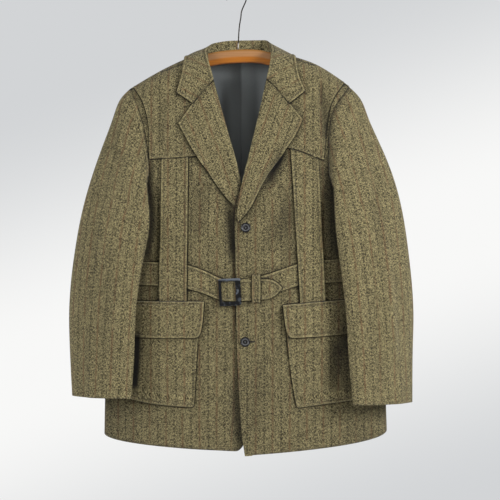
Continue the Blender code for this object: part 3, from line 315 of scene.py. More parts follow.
def laid_flat(cage, grain):
    """Lays the face that shows flat, in millimetres across and along the grain.

    Returns the places of its corners and its width, length and area in metres.
    """
    faces = [face for face in cage.faces if face.material_index == OUTER]
    verts = sorted({vert for face in faces for vert in face.verts}, key=lambda vert: vert.index)
    order = {vert: index for index, vert in enumerate(verts)}
    mesh = bpy.data.meshes.new("laid_flat")
    mesh.from_pydata([vert.co for vert in verts], [], [[order[v] for v in f.verts] for f in faces])
    piece = linked("laid_flat", mesh)
    bpy.context.view_layer.objects.active = piece
    bpy.ops.object.mode_set(mode="EDIT")
    bpy.ops.mesh.select_all(action="SELECT")
    bpy.ops.uv.unwrap(method="ANGLE_BASED", margin=0.0)
    bpy.ops.object.mode_set(mode="OBJECT")
    corners = np.zeros(len(mesh.loops) * 2)
    mesh.uv_layers.active.data.foreach_get("uv", corners)
    corners = corners.reshape(-1, 2)
    flat = np.zeros((len(verts), 2))
    for loop in mesh.loops:
        flat[loop.vertex_index] = corners[loop.index]
    flat_area = 0.0
    for polygon in mesh.polygons:
        ring = corners[list(polygon.loop_indices)]
        after = np.roll(ring, -1, axis=0)
        flat_area += abs(np.sum(ring[:, 0] * after[:, 1] - ring[:, 1] * after[:, 0])) / 2
    area = sum(polygon.area for polygon in mesh.polygons)
    bpy.data.objects.remove(piece)
    bpy.data.meshes.remove(mesh)
    flat *= math.sqrt(area / flat_area) / MM
    flat = turned_to(flat, np.array([(vert.co.x / MM, vert.co.z / MM) for vert in verts]))
    if grain == "length":
        flat = turned_upright(flat)
    wide, tall = (flat.max(axis=0) - flat.min(axis=0)) * MM
    return {vert: flat[order[vert]] for vert in verts}, (round(wide, 3), round(tall, 3)), area


def add_values(mesh, name, kind, values):
    """Stores one value for each corner of a mesh."""
    layer = mesh.attributes.new(name, kind, "POINT")
    layer.data.foreach_set("vector" if kind == "FLOAT_VECTOR" else "value", np.ravel(values))


def read_points(mesh, field="co"):
    """Corners or corner normals of a mesh as an array."""
    values = np.zeros(len(mesh.vertices) * 3)
    mesh.vertices.foreach_get(field, values)
    return values.reshape(-1, 3)


def cage_mesh(cage, name):
    """The mesh of a cage, which is freed."""
    mesh = bpy.data.meshes.new(name)
    cage.to_mesh(mesh)
    cage.free()
    return mesh


def subdivided(mesh, level):
    """A mesh with a subdivision surface applied, under the same name."""
    name = mesh.name
    rough = linked(name + "_rough", mesh)
    surface = rough.modifiers.new("rounded", "SUBSURF")
    surface.levels = surface.render_levels = level
    fine = finished_mesh(rough)
    fine.name = name
    return fine


def outline_edges(fine):
    """Ends of the edges where the face that shows meets the rim."""
    kinds = {}
    for polygon in fine.polygons:
        for key in polygon.edge_keys:
            kinds.setdefault(key, set()).add(polygon.material_index)
    return [key for key, seen in kinds.items() if seen == {OUTER, RIM}]


def stitched_outline(fine, edges, sewn_to):
    """Points of the outline that have stitching along them."""
    points = [(fine.vertices[a].co + fine.vertices[b].co) / 2 for a, b in edges]
    if sewn_to == "front edge":
        low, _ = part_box("lapel_left")
        return [p for p in points if p.z < low.z + FRONT_EDGE_TOP and p.x < FRONT_EDGE_SIDE]
    for other in sewn_to:
        cage = merged(other)
        tree = BVHTree.FromBMesh(cage)
        points = [p for p in points if tree.find_nearest(p)[3] > SEAM_REACH_MM * MM]
        cage.free()
    return points


def point_tree(points):
    """A tree that finds the nearest of some points."""
    tree = KDTree(len(points))
    for index, point in enumerate(points):
        tree.insert(point, index)
    tree.balance()
    return tree


def edge_distances(fine, points):
    """Distance of each corner of a mesh from a line of points, in millimetres."""
    reach = np.full(len(fine.vertices), FAR_FROM_EDGE_MM)
    if points:
        tree = point_tree(points)
        for vert in fine.vertices:
            reach[vert.index] = min(FAR_FROM_EDGE_MM, tree.find(vert.co)[2] / MM)
    return reach


def soft_step(value, low, high):
    """Soft step from 0 at low to 1 at high."""
    share = np.clip((value - low) / (high - low), 0, 1)
    return share * share * (3 - 2 * share)


# Soft folds of the front: from x, z to x, z, half width and height in millimetres; a hollow is negative
FRONT_FOLDS = (
    (56, -572, 98, -508, 15, 3.0),
    (96, -545, 102, -430, 16, -4.5),
    (66, -545, 74, -470, 12, -2.5),
    (92, -338, 62, -400, 12, -6.5),
    (-14, -440, -8, -545, 10, -5.5),
    (-60, -560, -95, -500, 18, 2.0),
    (-78, -520, -70, -400, 14, -2.5),
    (172, -205, 181, -310, 9, -5.5),
    (-146, -240, -150, -320, 8, -2.5),
    (196, -790, 204, -715, 15, -5.0),
    (-150, -880, -120, -700, 26, 2.0),
    (110, -900, 95, -760, 24, 2.0),
    (30, -900, 45, -760, 18, -2.0),
    (2, -925, -4, -800, 11, -4.5),
)

# The same for the back: drag lines from the shoulders, folds above the belt and soft waves of the skirt
BACK_FOLDS = (
    (-60, -190, -130, -300, 22, 2.5), (70, -190, 150, -300, 22, 2.5), (-150, -300, -140, -430, 14, -3.0),
    (165, -300, 160, -430, 14, -3.0), (-70, -560, -85, -420, 18, 2.5), (-30, -560, -24, -450, 15, -2.5),
    (40, -565, 52, -410, 17, 2.5), (95, -560, 110, -450, 16, -2.5), (-120, -640, -130, -900, 24, 2.5),
    (-50, -640, -40, -900, 22, -2.5), (30, -640, 40, -900, 24, 2.5), (115, -640, 130, -900, 24, -2.5),
)

# The same for each face of the sleeves
SLEEVE_FOLDS = {
    "right": {
        "front": ((-230, -245, -222, -345, 7, 2.2), (-246, -250, -240, -360, 11, -2.2),
                  (-205, -420, -235, -560, 18, 1.8), (-290, -470, -300, -640, 20, -2.0),
                  (-250, -560, -262, -760, 18, -1.8), (-225, -640, -235, -800, 14, 1.5)),
        "back": ((-235, -300, -265, -470, 18, -2.5), (-255, -420, -290, -600, 20, 2.5),
                 (-240, -560, -255, -760, 18, -2.2)),
    },
    "left": {
        "front": ((232, -250, 258, -400, 14, 1.8), (262, -330, 292, -520, 16, -2.0),
                  (232, -480, 246, -680, 14, 1.8), (300, -560, 312, -760, 18, 1.6),
                  (270, -600, 280, -800, 16, -1.6)),
        "back": ((250, -310, 285, -480, 18, -2.5), (275, -430, 310, -610, 20, 2.5),
                 (260, -580, 275, -780, 18, -2.2)),
    },
}

# Where each sleeve rounds out: middle across and up, height, reach across and up
SLEEVE_ROUNDS = {"right": ((-236, -226, 6.0, 34, 34), (-310, -420, 1.5, 40, 110)),
                 "left": ((264, -216, 8.0, 34, 36), (316, -390, 5.5, 50, 120))}

# The pleat of the lining: where across it starts and ends to rise, starts and ends to fall, and its height
PLEAT = (6.5, 10.5, 12.5, 43.7, 4.5)
# Soft creases of the lining
LINING_FOLDS = (
    (-36, -178, 4, -172, 9, 1.6), (-30, -200, -22, -330, 10, -2.2), (-14, -190, -12, -360, 9, 1.6),
    (44, -190, 40, -320, 10, -2.4), (28, -330, 20, -430, 9, 1.8),
)
# Which way the folds of each side of the body stand, and how far out that way they start and are full
BODY_FACING = {"front": (-1, 12.0, 34.0), "back": (1, 12.0, 30.0)}
SLEEVE_FACING = (0.1, 0.6)           # and the same for a sleeve, as a share of the way round it
FOLD_END = (-0.3, 0.25)              # share of its length at which a fold starts and is full
ARMHOLE_REACH = 0.012                # the edge of a sleeve this close to the armhole is drawn to it
ARMHOLE_SPREAD = 0.022               # and the cloth this far from that edge follows
ALLOWANCE_MM = 10.0                  # the turned-in cloth makes a ridge this wide along the armhole
ALLOWANCE_TOP_MM = 1.9               # its top looks like the cloth this far from a stitched edge
ALLOWANCE_END_MM = 16.0
ARM_LENGTH = 0.3
ARM_RING = 0.03
# A turned edge: how far in its ridge and the groove of its stitching lie and their half widths; how deep
# the groove is beside the ridge's height
RIDGE_MM = (1.8, 2.2)
GROOVE_MM = (5.5, 1.2)
GROOVE_SHARE = 0.25
SHELLS = {}


def fold_height(x, z, folds):
    """Height of a set of folds at a place on the cloth, in millimetres."""
    total = np.zeros_like(x)
    for x1, z1, x2, z2, half_width, height in folds:
        way = np.array([x2 - x1, z2 - z1])
        reach = np.linalg.norm(way)
        way = way / reach
        along = (x - x1) * way[0] + (z - z1) * way[1]
        aside = (z - z1) * way[0] - (x - x1) * way[1]
        start, full = (share * reach for share in FOLD_END)
        fade = soft_step(along, start, full) * soft_step(along, reach - start, reach - full)
        total += height * fade * np.exp(-(aside / half_width) ** 2)
    return total


def folded_body(points, face, folds):
    """Moves points of the front or the back in and out along its soft folds."""
    way, start, full = BODY_FACING[face]
    x, y, z = (points / MM).T
    height = fold_height(x, z, folds) * soft_step(way * y, start, full)
    height *= bpy.context.scene.jacket_sewing.fold_share
    points[:, 1] += way * height * MM
    return points, height


# Lower corner of the right front: how far its edge swings back at the hem and where that starts, the
# width of cloth that follows, and the corner's radius
CORNER_SWING = 10.0
CORNER_FROM = (-850, -930)
CORNER_FOLLOWS = 60.0
CORNER_RADIUS = 15.0


def rounded_corner(points):
    """Swings the right front's edge back at the hem and rounds its lower corner."""
    x, z = points[:, 0] / MM, points[:, 2] / MM
    tip = np.argmax(x - z)
    edge, foot = x[tip], z[tip]
    swing = CORNER_SWING * soft_step(z, *CORNER_FROM) * soft_step(x, edge - CORNER_FOLLOWS, edge)
    x = x - swing
    across = np.clip((x - x[tip]) / CORNER_RADIUS + 1, 0, 1)
    down = np.clip((foot - z) / CORNER_RADIUS + 1, 0, 1)
    x = x - CORNER_RADIUS * across * (1 - np.sqrt(1 - down ** 2 / 2))
    z = z + CORNER_RADIUS * down * (1 - np.sqrt(1 - across ** 2 / 2))
    points[:, 0], points[:, 2] = x * MM, z * MM
    return points


# Lapels: how far the tips are lifted off the front and from where to where, how far the left tip is drawn
# down and how much its outer edge is drawn in, between which heights
LAPEL_LIFT = 2.5
LAPEL_TIP = (-395, -450)
LAPEL_DROP = 12.0
LAPEL_SLIM = 7.0
LAPEL_WAIST = (-335, -385, -415, -465)

# Turn of the collar at the right shoulder: middle and reach across, heights it spans, how far it sinks
COLLAR_TURN = (-56, 24, -190, -150, 4.0)
# The middle of the collar's stand, where it starts to widen, where it has, and how much
STAND_WIDENS = (5.5, 30, 58, 2.5)


def shaped_lapel(points, side):
    """Lifts the tip of a lapel off the front; draws the left one in and down."""
    x, z = points[:, 0] / MM, points[:, 2] / MM
    points[:, 1] -= LAPEL_LIFT * MM * soft_step(z, *LAPEL_TIP)
    if side == "left":
        heights, low, high = spans(points)
        inner, outer = np.interp(z, heights, low), np.interp(z, heights, high)
        share = np.clip((x - inner) / np.maximum(outer - inner, 1.0), 0, 1)
        top, waist_top, waist_foot, foot = LAPEL_WAIST
        waist = soft_step(z, top, waist_top) * soft_step(z, foot, waist_foot)
        points[:, 0] -= LAPEL_SLIM * MM * waist * share
        points[:, 2] -= LAPEL_DROP * MM * soft_step(z, *LAPEL_TIP)
    return points


def widened_stand(points):
    """Draws the ends of the collar's stand out into the fold of the collar."""
    middle, start, end, wider = STAND_WIDENS
    aside = points[:, 0] / MM - middle
    points[:, 0] += np.sign(aside) * wider * MM * soft_step(np.abs(aside), start, end)
    return points


def turned_collar(points):
    """Sinks the turn of the collar at the right shoulder."""
    middle, reach, low, high, drop = COLLAR_TURN
    x, z = points[:, 0] / MM, points[:, 2] / MM
    points[:, 2] -= drop * MM * np.exp(-((x - middle) / reach) ** 2) * soft_step(z, low, high)
    return points


def spans(points):
    """Heights down a piece and how far across it starts and ends at each, in millimetres."""
    points = points / MM
    heights = np.arange(points[:, 2].min(), points[:, 2].max(), SPAN_STEP_MM)
    rings = [points[np.abs(points[:, 2] - height) < SPAN_STEP_MM, 0] for height in heights]
    return heights, np.array([ring.min() for ring in rings]), np.array([ring.max() for ring in rings])


def folded_lining(points):
    """Lays the pleat and the creases into the lining."""
    x, z = points[:, 0] / MM, points[:, 2] / MM
    rise, top, fall, end, high = PLEAT
    pleat = high * soft_step(x, rise, top) * soft_step(x, end, fall)
    height = pleat + fold_height(x, z, LINING_FOLDS)
    points[:, 1] -= height * MM
    return points, height


def closed_on_armhole(points, edges, side):
    """Draws the top edge of a sleeve in to the edge of the armhole; the cloth beside it follows."""
    rims = []
    for node in ("front_" + side, "back"):
        shell, shell_edges = SHELLS[node]
        places = read_points(shell.data)
        rims += [(places[a] + places[b]) / 2 for a, b in shell_edges]
    armhole = point_tree(rims)
    ends, moves = [], []
    for index in {index for edge in edges for index in edge}:
        near, _, gap = armhole.find(points[index])
        if gap < ARMHOLE_REACH:
            ends.append(points[index].copy())
            moves.append(np.array(near) - points[index])
    own = point_tree(ends)
    gaps = np.zeros(len(points))
    for index, point in enumerate(points):
        _, number, gap = own.find(point)
        gaps[index] = gap / MM
        if gap < ARMHOLE_SPREAD:
            points[index] += moves[number] * (1 - gap / ARMHOLE_SPREAD) ** 2
    return points, gaps


def arm_axis(side):
    """Middle of a sleeve at two heights, as rows of x, y, z."""
    both = [read_points(FRAME["nodes"][half + side].data) for half in ("sleeve_top_", "sleeve_under_")]
    points = np.concatenate(both)
    low = points[:, 2].min()
    rows = []
    for height in (low, low + ARM_LENGTH):
        ring = points[np.abs(points[:, 2] - height) < ARM_RING]
        rows.append((ring.min(axis=0) + ring.max(axis=0)) / 2)
    return np.array(rows)


def folded_sleeve(points, normals, side):
    """Rounds the head of a sleeve and moves its points in and out along its soft folds."""
    for x, z, height, wide, tall in SLEEVE_ROUNDS[side]:
        gap = np.hypot((points[:, 0] / MM - x) / wide, (points[:, 2] / MM - z) / tall)
        points = points + normals * (height * MM * np.exp(-gap ** 2))[:, None]
    low, high = arm_axis(side)
    share = (points[:, 2] - low[2]) / (high[2] - low[2])
    middle = low[None, :2] + (high - low)[None, :2] * share[:, None]
    out = points[:, :2] - middle
    reach = np.linalg.norm(out, axis=1)
    out /= np.maximum(reach, MM)[:, None]
    x, z = points[:, 0] / MM, points[:, 2] / MM
    front = fold_height(x, z, SLEEVE_FOLDS[side]["front"]) * soft_step(-out[:, 1], *SLEEVE_FACING)
    hind = fold_height(x, z, SLEEVE_FOLDS[side]["back"]) * soft_step(out[:, 1], *SLEEVE_FACING)
    height = (front + hind) * bpy.context.scene.jacket_sewing.fold_share
    points[:, :2] += out * (height * MM)[:, None]
    return points, height


def shaped(node, points, normals, edges, reach):
    """Gives a piece its soft forms; returns its points, their folds and distances from the stitched edge."""
    folds = np.zeros(len(points))
    side = node.split("_")[-1]
    if node.startswith("sleeve"):
        points, folds = folded_sleeve(points, normals, side)
        points, gaps = closed_on_armhole(points, edges, side)
        reach = np.where(gaps < ALLOWANCE_END_MM, np.abs(gaps - ALLOWANCE_MM / 2) + ALLOWANCE_TOP_MM, reach)
    elif node == "lining_back":
        points, folds = folded_lining(points)
    elif node == "collar_fall":
        points = turned_collar(points)
    elif side == "back":
        points, folds = folded_body(points, "back", BACK_FOLDS)
    else:
        if node == "front_right":
            points = rounded_corner(points)
        elif node.startswith("lapel"):
            points = shaped_lapel(points, side)
        elif node == "collar_stand":
            points = widened_stand(turned_collar(points))
        points, folds = folded_body(points, "front", FRONT_FOLDS)
    return points, folds, reach


def dressed(node):
    """Lays a piece of cloth over its solid."""
    shows, level, grain, held, rests_on, sewn_to, hidden = CLOTH[node]
    cage = merged(node)
    cage.verts.index_update()
    mark_faces(cage, shows)
    rounded = node.startswith(("flap", "pocket"))
    round_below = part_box(node)[0].z + ROUND_CORNER if rounded else -math.inf
    set_creases(cage, round_below)
    cage.verts.ensure_lookup_table()
    flat, flat_size, area = laid_flat(cage, grain)
    places = spread_to_all(cage, flat)
    mesh = cage_mesh(cage, node + "_cloth")
    add_values(mesh, "cloth", "FLOAT_VECTOR", np.column_stack([places, np.zeros(len(places))]))
    fine = subdivided(mesh, level)
    edges = outline_edges(fine)
    outline = [] if sewn_to is None else stitched_outline(fine, edges, sewn_to)
    reach = edge_distances(fine, outline)
    points, normals = read_points(fine), read_points(fine, "normal")
    outside = np.zeros(len(points))
    outside[outer_corners(fine)] = 1.0
    ridge, groove = (np.exp(-((reach - top) / half) ** 2) for top, half in (RIDGE_MM, GROOVE_MM))
    swell = (ridge - GROOVE_SHARE * groove) * outside
    points += normals * (swell * bpy.context.scene.jacket_sewing.edge_swell)[:, None]
    points, folds, reach = shaped(node, points, normals, edges, reach)
    fine.vertices.foreach_set("co", points.ravel())
    add_values(fine, "edge", "FLOAT", reach)
    add_values(fine, "fold", "FLOAT", folds)
    for polygon in fine.polygons:
        if polygon.material_index == RIM:
            polygon.material_index = OUTER
    fine.set_sharp_from_angle(angle=CORNER_ANGLE)
    fine.update()
    shell = put_on_for(node, fine, "satin" if node == "lining_back" else "tweed", hidden)
    SHELLS[node] = (shell, edges)


SEAM_REACH = 0.018                   # how far the painted shade beside a laid piece reaches
SEAM_STEP = 0.0008                   # an outline lower than this is under the cloth
SEWN_STEP_MM = 1.4                   # a plain seam's painted shadow line is fainter, as if it lay this much farther off
GORGE_STEP_MM = 2.9                  # and the seam of collar and lapel fainter still
YOKE_STEP_MM = -0.8                  # the edge of a yoke is a darker one
RAY_START = 0.0004

# How deep the painted shade beside each kind of laid piece is; the higher it stands, the deeper
SHADE_BESIDE_LAID = {"front_left": 0.8, "lapel": 0.5, "collar_fall": 0.3, "belt": 0.3, "flap": 0.26, "pocket": 0.16,
           "yoke": 0.14, "strap": 0.12}
# Painted shade beside a sleeve's inner edge: where it ends and where it is full, in millimetres from that
# edge
ARM_SHADE_MM = {"right": (14.0, 3.0), "left": (36.0, -8.0)}
# Share of the painted shade beside the front edge: height, share; it stands off most at the hem and above
# the belt
EDGE_SHADE = ((-930, 1.0), (-850, 0.8), (-770, 0.35), (-600, 0.35), (-560, 0.6), (-520, 1.0), (-440, 1.0))

# Painted shade all over a piece that lies deeper than what is laid on it
DEEPER_SHADE = {"front": 0.15, "yoke": 0.08, "pocket": 0.07, "lapel": 0.03, "strap": 0.03}
SHADED_BY_ARM = ("front", "strap", "pocket", "flap", "belt_right", "belt_left")

# How deep the painted shade beside the sleeves is: height, depth; the cloth falls back behind the arm most
# where neither the belt nor the pocket's edges hold it forward
ARM_SHADE = {
    "right": ((-900, 0.15), (-818, 0.2), (-800, 0.95), (-705, 1.0), (-690, 0.5), (-640, 0.4), (-560, 0.4),
              (-535, 0.7), (-420, 0.7), (-350, 0.4), (-310, 0.0)),
    "left": ((-900, 0.15), (-830, 0.2), (-790, 0.5), (-740, 0.65), (-705, 0.85), (-650, 0.45), (-560, 0.4),
             (-535, 0.8), (-420, 0.8), (-350, 0.5), (-310, 0.0)),
}

# The part of each shoulder seam that lies in front of the shoulder's edge: x, z to x, z
SHOULDER_SEAMS = (((-106, -154), (-152, -170)), ((116, -144), (157, -156)))
ON_SHOULDER = ("front", "yoke", "back")
SEAM_END_MM = 4.0


def seam_distance(points, start, end):
    """Distance of points from a seam as seen from the front, in millimetres, below zero under it."""
    start, way = np.array(start), np.subtract(end, start)
    reach = np.linalg.norm(way)
    flat = points[:, [0, 2]] - start
    along = flat @ way / reach
    aside = (flat[:, 1] * way[0] - flat[:, 0] * way[1]) / reach * np.sign(way[0])
    beside = (along > -SEAM_END_MM) & (along < reach + SEAM_END_MM)
    return np.where(beside, aside, FAR_FROM_EDGE_MM)


def outer_corners(mesh):
    """Indices of the corners of the faces that show."""
    return sorted({index for polygon in mesh.polygons if polygon.material_index == OUTER
                   for index in polygon.vertices})


def paint_edge_shade():
    """Stores on each piece its distance from the outlines on it, below zero where it is covered, from which
    the painted shadow lines are drawn, and the depth of the painted shade on it.
    """
    rims, rim_nodes, rim_depths, corners, faces, face_nodes = [], [], [], [], [], []
    for node, (shell, edges) in SHELLS.items():
        places = read_points(shell.data)
        first = len(corners)
        corners += [tuple(place) for place in places]
        for polygon in shell.data.polygons:
            faces.append([first + index for index in polygon.vertices])
            face_nodes.append(node)
        for a, b in edges:
            rims.append((places[a] + places[b]) / 2)
            rim_nodes.append(node)
            rim_depths.append(shade_beside_laid_depth(node, rims[-1][2] / MM))
    outlines = point_tree(rims)
    covers = BVHTree.FromPolygons(corners, faces)
    for node, (shell, _) in SHELLS.items():
        places, normals = read_points(shell.data), read_points(shell.data, "normal")
        gaps = np.full(len(places), FAR_FROM_EDGE_MM)
        shade_beside_laid = np.zeros(len(places))
        for index in outer_corners(shell.data):
            place, normal = Vector(places[index]), Vector(normals[index])
            near = []
            for rim, number, reach in outlines.find_range(place, SEAM_REACH):
                height = (rim - place).dot(normal)
                if rim_nodes[number] == node or height < -SEAM_STEP:
                    continue
                gap = math.sqrt(max(0.0, reach ** 2 - height ** 2)) / MM
                near.append(gap + seam_step(node, rim_nodes[number]))
                share = 1 - gap * MM / SEAM_REACH
                shade_beside_laid[index] = max(shade_beside_laid[index], rim_depths[number] * share * share)
            if near:
                found = covers.ray_cast(place + normal * RAY_START, normal, SEAM_REACH)
                covered = found[0] is not None and face_nodes[found[2]] != node
                gaps[index] = min(near) * (-1 if covered else 1)
        seam = np.full(len(places), FAR_FROM_EDGE_MM)
        if node.startswith(ON_SHOULDER):
            for ends in SHOULDER_SEAMS:
                aside = seam_distance(places / MM, *ends)
                seam = np.where(np.abs(aside) < np.abs(seam), aside, seam)
        add_values(shell.data, "seam", "FLOAT", seam)
        add_values(shell.data, "crevice", "FLOAT", gaps)
        # painted shade: all over the piece, beside laid pieces and beside the sleeves
        deeper = DEEPER_SHADE.get(node.split("_")[0], 0.0)
        add_values(shell.data, "shade", "FLOAT", deeper + np.maximum(shade_beside_laid, arm_shade(node, places)))


def seam_step(node, other):
    """How much fainter the painted shadow line between two pieces is, as millimetres farther off."""
    kinds = {node.split("_")[0], other.split("_")[0]}
    if kinds in ({"front", "lapel"}, {"strap", "yoke"}):
        return 0.0
    if kinds == {"front", "yoke"}:
        return YOKE_STEP_MM
    if kinds in ({"collar", "lapel"}, {"collar"}):
        return GORGE_STEP_MM
    if kinds == {"front", "sleeve"}:
        return SEWN_STEP_MM
    joined = other in (CLOTH[node][SEWN_TO] or ()) or node in (CLOTH[other][SEWN_TO] or ())
    return SEWN_STEP_MM if joined else 0.0


def shade_beside_laid_depth(node, height):
    """How deep the painted shade beside a piece is at a height."""
    depth = next((depth for kind, depth in SHADE_BESIDE_LAID.items() if node.startswith(kind)), 0.0)
    if node == "front_left":
        depth *= np.interp(height, *np.array(EDGE_SHADE).T)
    return depth


def inner_edge(side):
    """Heights down a sleeve and how far across its inner edge is at each, in millimetres."""
    halves = [read_points(SHELLS[half + side][0].data) for half in ("sleeve_top_", "sleeve_under_")]
    heights, low, high = spans(np.concatenate(halves))
    return heights, high if side == "right" else low


def arm_shade(node, places):
    """How deep the painted shade of the sleeves is at each place on a piece of the front."""
    depth = np.zeros(len(places))
    if not node.startswith(SHADED_BY_ARM):
        return depth
    across, up = places[:, 0] / MM, places[:, 2] / MM
    for side, rows in ARM_SHADE.items():
        gap = (across - np.interp(up, *inner_edge(side))) * (1 if side == "right" else -1)
        held = np.interp(up, *np.array(rows).T)
        depth = np.maximum(depth, held * soft_step(gap, *ARM_SHADE_MM[side]))
    return depth


def edge_lines(mesh, inset):
    """Lines on the face that shows at one distance from the stitched edge, as rows of points."""
    values = np.zeros(len(mesh.vertices))
    mesh.attributes["edge"].data.foreach_get("value", values)
    values -= inset / MM
    places, normals = read_points(mesh), read_points(mesh, "normal")
    links = {}
    crossing = {}
    for polygon in mesh.polygons:
        ring = list(polygon.vertices)
        if polygon.material_index != OUTER or values[ring].min() > 0 or values[ring].max() < 0:
            continue
        for a, b, c in zip(ring[:1] * (len(ring) - 2), ring[1:], ring[2:]):
            cut = []
            for start, stop in ((a, b), (b, c), (c, a)):
                if (values[start] > 0) != (values[stop] > 0):
                    key = (min(start, stop), max(start, stop))
                    share = values[key[0]] / (values[key[0]] - values[key[1]])
                    place = places[key[0]] + (places[key[1]] - places[key[0]]) * share
                    crossing[key] = place + normals[key[0]] * STITCH_LIFT
                    cut.append(key)
            if len(cut) == 2:
                links.setdefault(cut[0], []).append(cut[1])
                links.setdefault(cut[1], []).append(cut[0])
    return [[crossing[key] for key in chain] for chain in chains(links)]


def chains(links):
    """Walks a set of links, from the loose ends first, and returns its chains."""
    left = set(links)
    found = []
    for start in sorted(left, key=lambda key: (len(links[key]), key)):
        if start not in left:
            continue
        chain = [start]
        left.discard(start)
        while True:
            ahead = [key for key in links[chain[-1]] if key in left]
            if not ahead:
                break
            chain.append(ahead[0])
            left.discard(ahead[0])
        found.append(chain)
    return found


STITCH_LIFT = 0.0001


def stitch_tree():
    """Geometry nodes that lay stitches along curves."""
    tree = bpy.data.node_groups.new("stitches", "GeometryNodeTree")
    sockets = {}
    for name, kind in (("Geometry", "NodeSocketGeometry"), ("Spacing", "NodeSocketFloat"),
                       ("Size", "NodeSocketVector"), ("Material", "NodeSocketMaterial")):
        sockets[name] = tree.interface.new_socket(name, in_out="INPUT", socket_type=kind).identifier
    tree.interface.new_socket("Geometry", in_out="OUTPUT", socket_type="NodeSocketGeometry")
    given = add(tree, "NodeGroupInput").outputs
    points = add(tree, "GeometryNodeCurveToPoints", {"Curve": given["Geometry"], "Length": given["Spacing"]},
                 mode="LENGTH")
    bead = add(tree, "GeometryNodeMeshUVSphere", {"Segments": 6, "Rings": 3, "Radius": 0.5})
    laid = add(tree, "GeometryNodeInstanceOnPoints", {
        "Points": points.outputs["Points"], "Instance": bead.outputs["Mesh"],
        "Rotation": points.outputs["Rotation"], "Scale": given["Size"]})
    real = add(tree, "GeometryNodeRealizeInstances", {0: laid.outputs[0]})
    painted = add(tree, "GeometryNodeSetMaterial", {"Geometry": real.outputs[0],
                                                    "Material": given["Material"]})
    add(tree, "NodeGroupOutput", {0: painted.outputs[0]})
    return tree, sockets


def drawn_through(name, lines, closed=False):
    """A curve through lines of points."""
    route = bpy.data.curves.new(name, "CURVE")
    route.dimensions = "3D"
    for line in lines:
        spline = route.splines.new("POLY")
        spline.use_cyclic_u = closed
        spline.points.add(len(line) - 1)
        spline.points.foreach_set("co", np.column_stack([line, np.ones(len(line))]).ravel())
    return linked(name, route)


def stitches(name, lines, tree, sockets):
    """Stitches along lines of points, as one plain mesh."""
    sewing = bpy.context.scene.jacket_sewing
    sewn = drawn_through(name + "_route", lines)
    nodes = sewn.modifiers.new("stitches", "NODES")
    nodes.node_group = tree
    nodes[sockets["Spacing"]] = sewing.spacing
    nodes[sockets["Size"]] = (sewing.thread, sewing.thread, sewing.stitch)
    nodes[sockets["Material"]] = material("thread")
    put_on(name, finished_mesh(sewn))


def put_on(name, mesh):
    """Adds a mesh to the jacket."""
    piece = linked(name, mesh)
    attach(piece, "root")
    return piece


def add(tree, kind, inputs=(), **settings):
    """Adds a node with its settings; an input that is a socket is linked, any other one is set."""
    node = tree.nodes.new(kind)
    for name, value in settings.items():
        setattr(node, name, value)
    for name, value in dict(inputs).items():
        if isinstance(value, bpy.types.NodeSocket):
            tree.links.new(value, node.inputs[name])
        else:
            node.inputs[name].default_value = value
    return node


def rgba(value):
    """A colour with full cover."""
    return tuple(value) + (1.0,)


def toned(value, share):
    """A colour made lighter or darker."""
    return [share * part for part in value]


def maths(tree, operation, *values, **settings):
    """The result of a sum on sockets and numbers."""
    return add(tree, "ShaderNodeMath", enumerate(values), operation=operation, **settings).outputs[0]


def remapped(tree, value, low, high, start=0.0, end=1.0, **settings):
    """A value that runs from start at low to end at high."""
    return add(tree, "ShaderNodeMapRange", {"Value": value, "From Min": low, "From Max": high,
                                            "To Min": start, "To Max": end}, **settings).outputs[0]


def mixed(tree, share, first, second, blend="MIX"):
    """A mix of two colours."""
    return add(tree, "ShaderNodeMix", {0: share, 6: first, 7: second}, data_type="RGBA",
               blend_type=blend).outputs[2]


def ramp(tree, value, stops):
    """The colour of a value, from stops of a place and a colour or grey."""
    node = add(tree, "ShaderNodeValToRGB", {0: value})
    elements = node.color_ramp.elements
    while len(elements) < len(stops):
        elements.new(0.5)
    for element, (place, tint) in zip(elements, stops):
        element.position = place
        element.color = rgba(tint if hasattr(tint, "__len__") else [tint] * 3)
    return node.outputs[0]


def noise(tree, place, scale, detail, dimensions="3D", **inputs):
    """Cloudy noise at a place."""
    return add(tree, "ShaderNodeTexNoise", {"Vector": place, "Scale": scale, "Detail": detail, **inputs},
               noise_dimensions=dimensions).outputs["Fac"]


def stretched(tree, place, scale):
    """A place with each way scaled on its own."""
    return add(tree, "ShaderNodeMapping", {"Vector": place, "Scale": scale}).outputs[0]


def bumped(tree, height, distance, strength, **inputs):
    """Normals that a height tilts."""
    return add(tree, "ShaderNodeBump", {"Height": height, "Distance": distance, "Strength": strength,
                                        **inputs}).outputs[0]


def stored(tree, name, output="Fac"):
    """A value stored at the corners of a mesh."""
    return add(tree, "ShaderNodeAttribute", attribute_name=name).outputs[output]


def place_on(tree):
    """Place on the object, and its height."""
    place = add(tree, "ShaderNodeTexCoord").outputs["Object"]
    return place, add(tree, "ShaderNodeSeparateXYZ", {0: place}).outputs[2]


def new_material(name):
    """An empty material and its nodes."""
    made = bpy.data.materials.new(name)
    made.use_nodes = True
    made.node_tree.nodes.clear()
    return made, made.node_tree


def surfaced(made, inputs):
    """Ends a material with its surface."""
    shader = add(made.node_tree, "ShaderNodeBsdfPrincipled", inputs)
    add(made.node_tree, "ShaderNodeOutputMaterial", {0: shader.outputs[0]})
    return made


# Tweed. Scale of its wales, uneven ribs of about 4 mm that run some 80 mm along the cloth
WALE_SCALE = (0.25, 0.012, 1.0)
FLECK_RANGE = (0.3, 0.7)             # values of the noise at which a fleck starts and is full
# Weights of the flecks, yarns, twill lines, clouds and wales in the tone of the cloth, and its lowest tone
TONE_WEIGHTS = (0.1, 1.3, 0.07, 0.12, 0.12)
TONE_START = -0.28
TONE_STOPS = (0.14, 0.4, 0.62, 0.9)  # tones of the dark, brown, green and light yarns
RUST_STRIPE = (0.2, 1.0, 0.82, 0.0)  # shares of its width at which a rust stripe fades; strengths there
RUST_PATCHES = (0.3, 0.55)           # values of the clouds between which the rust comes and goes
DOT_PITCH_MM = 7.0
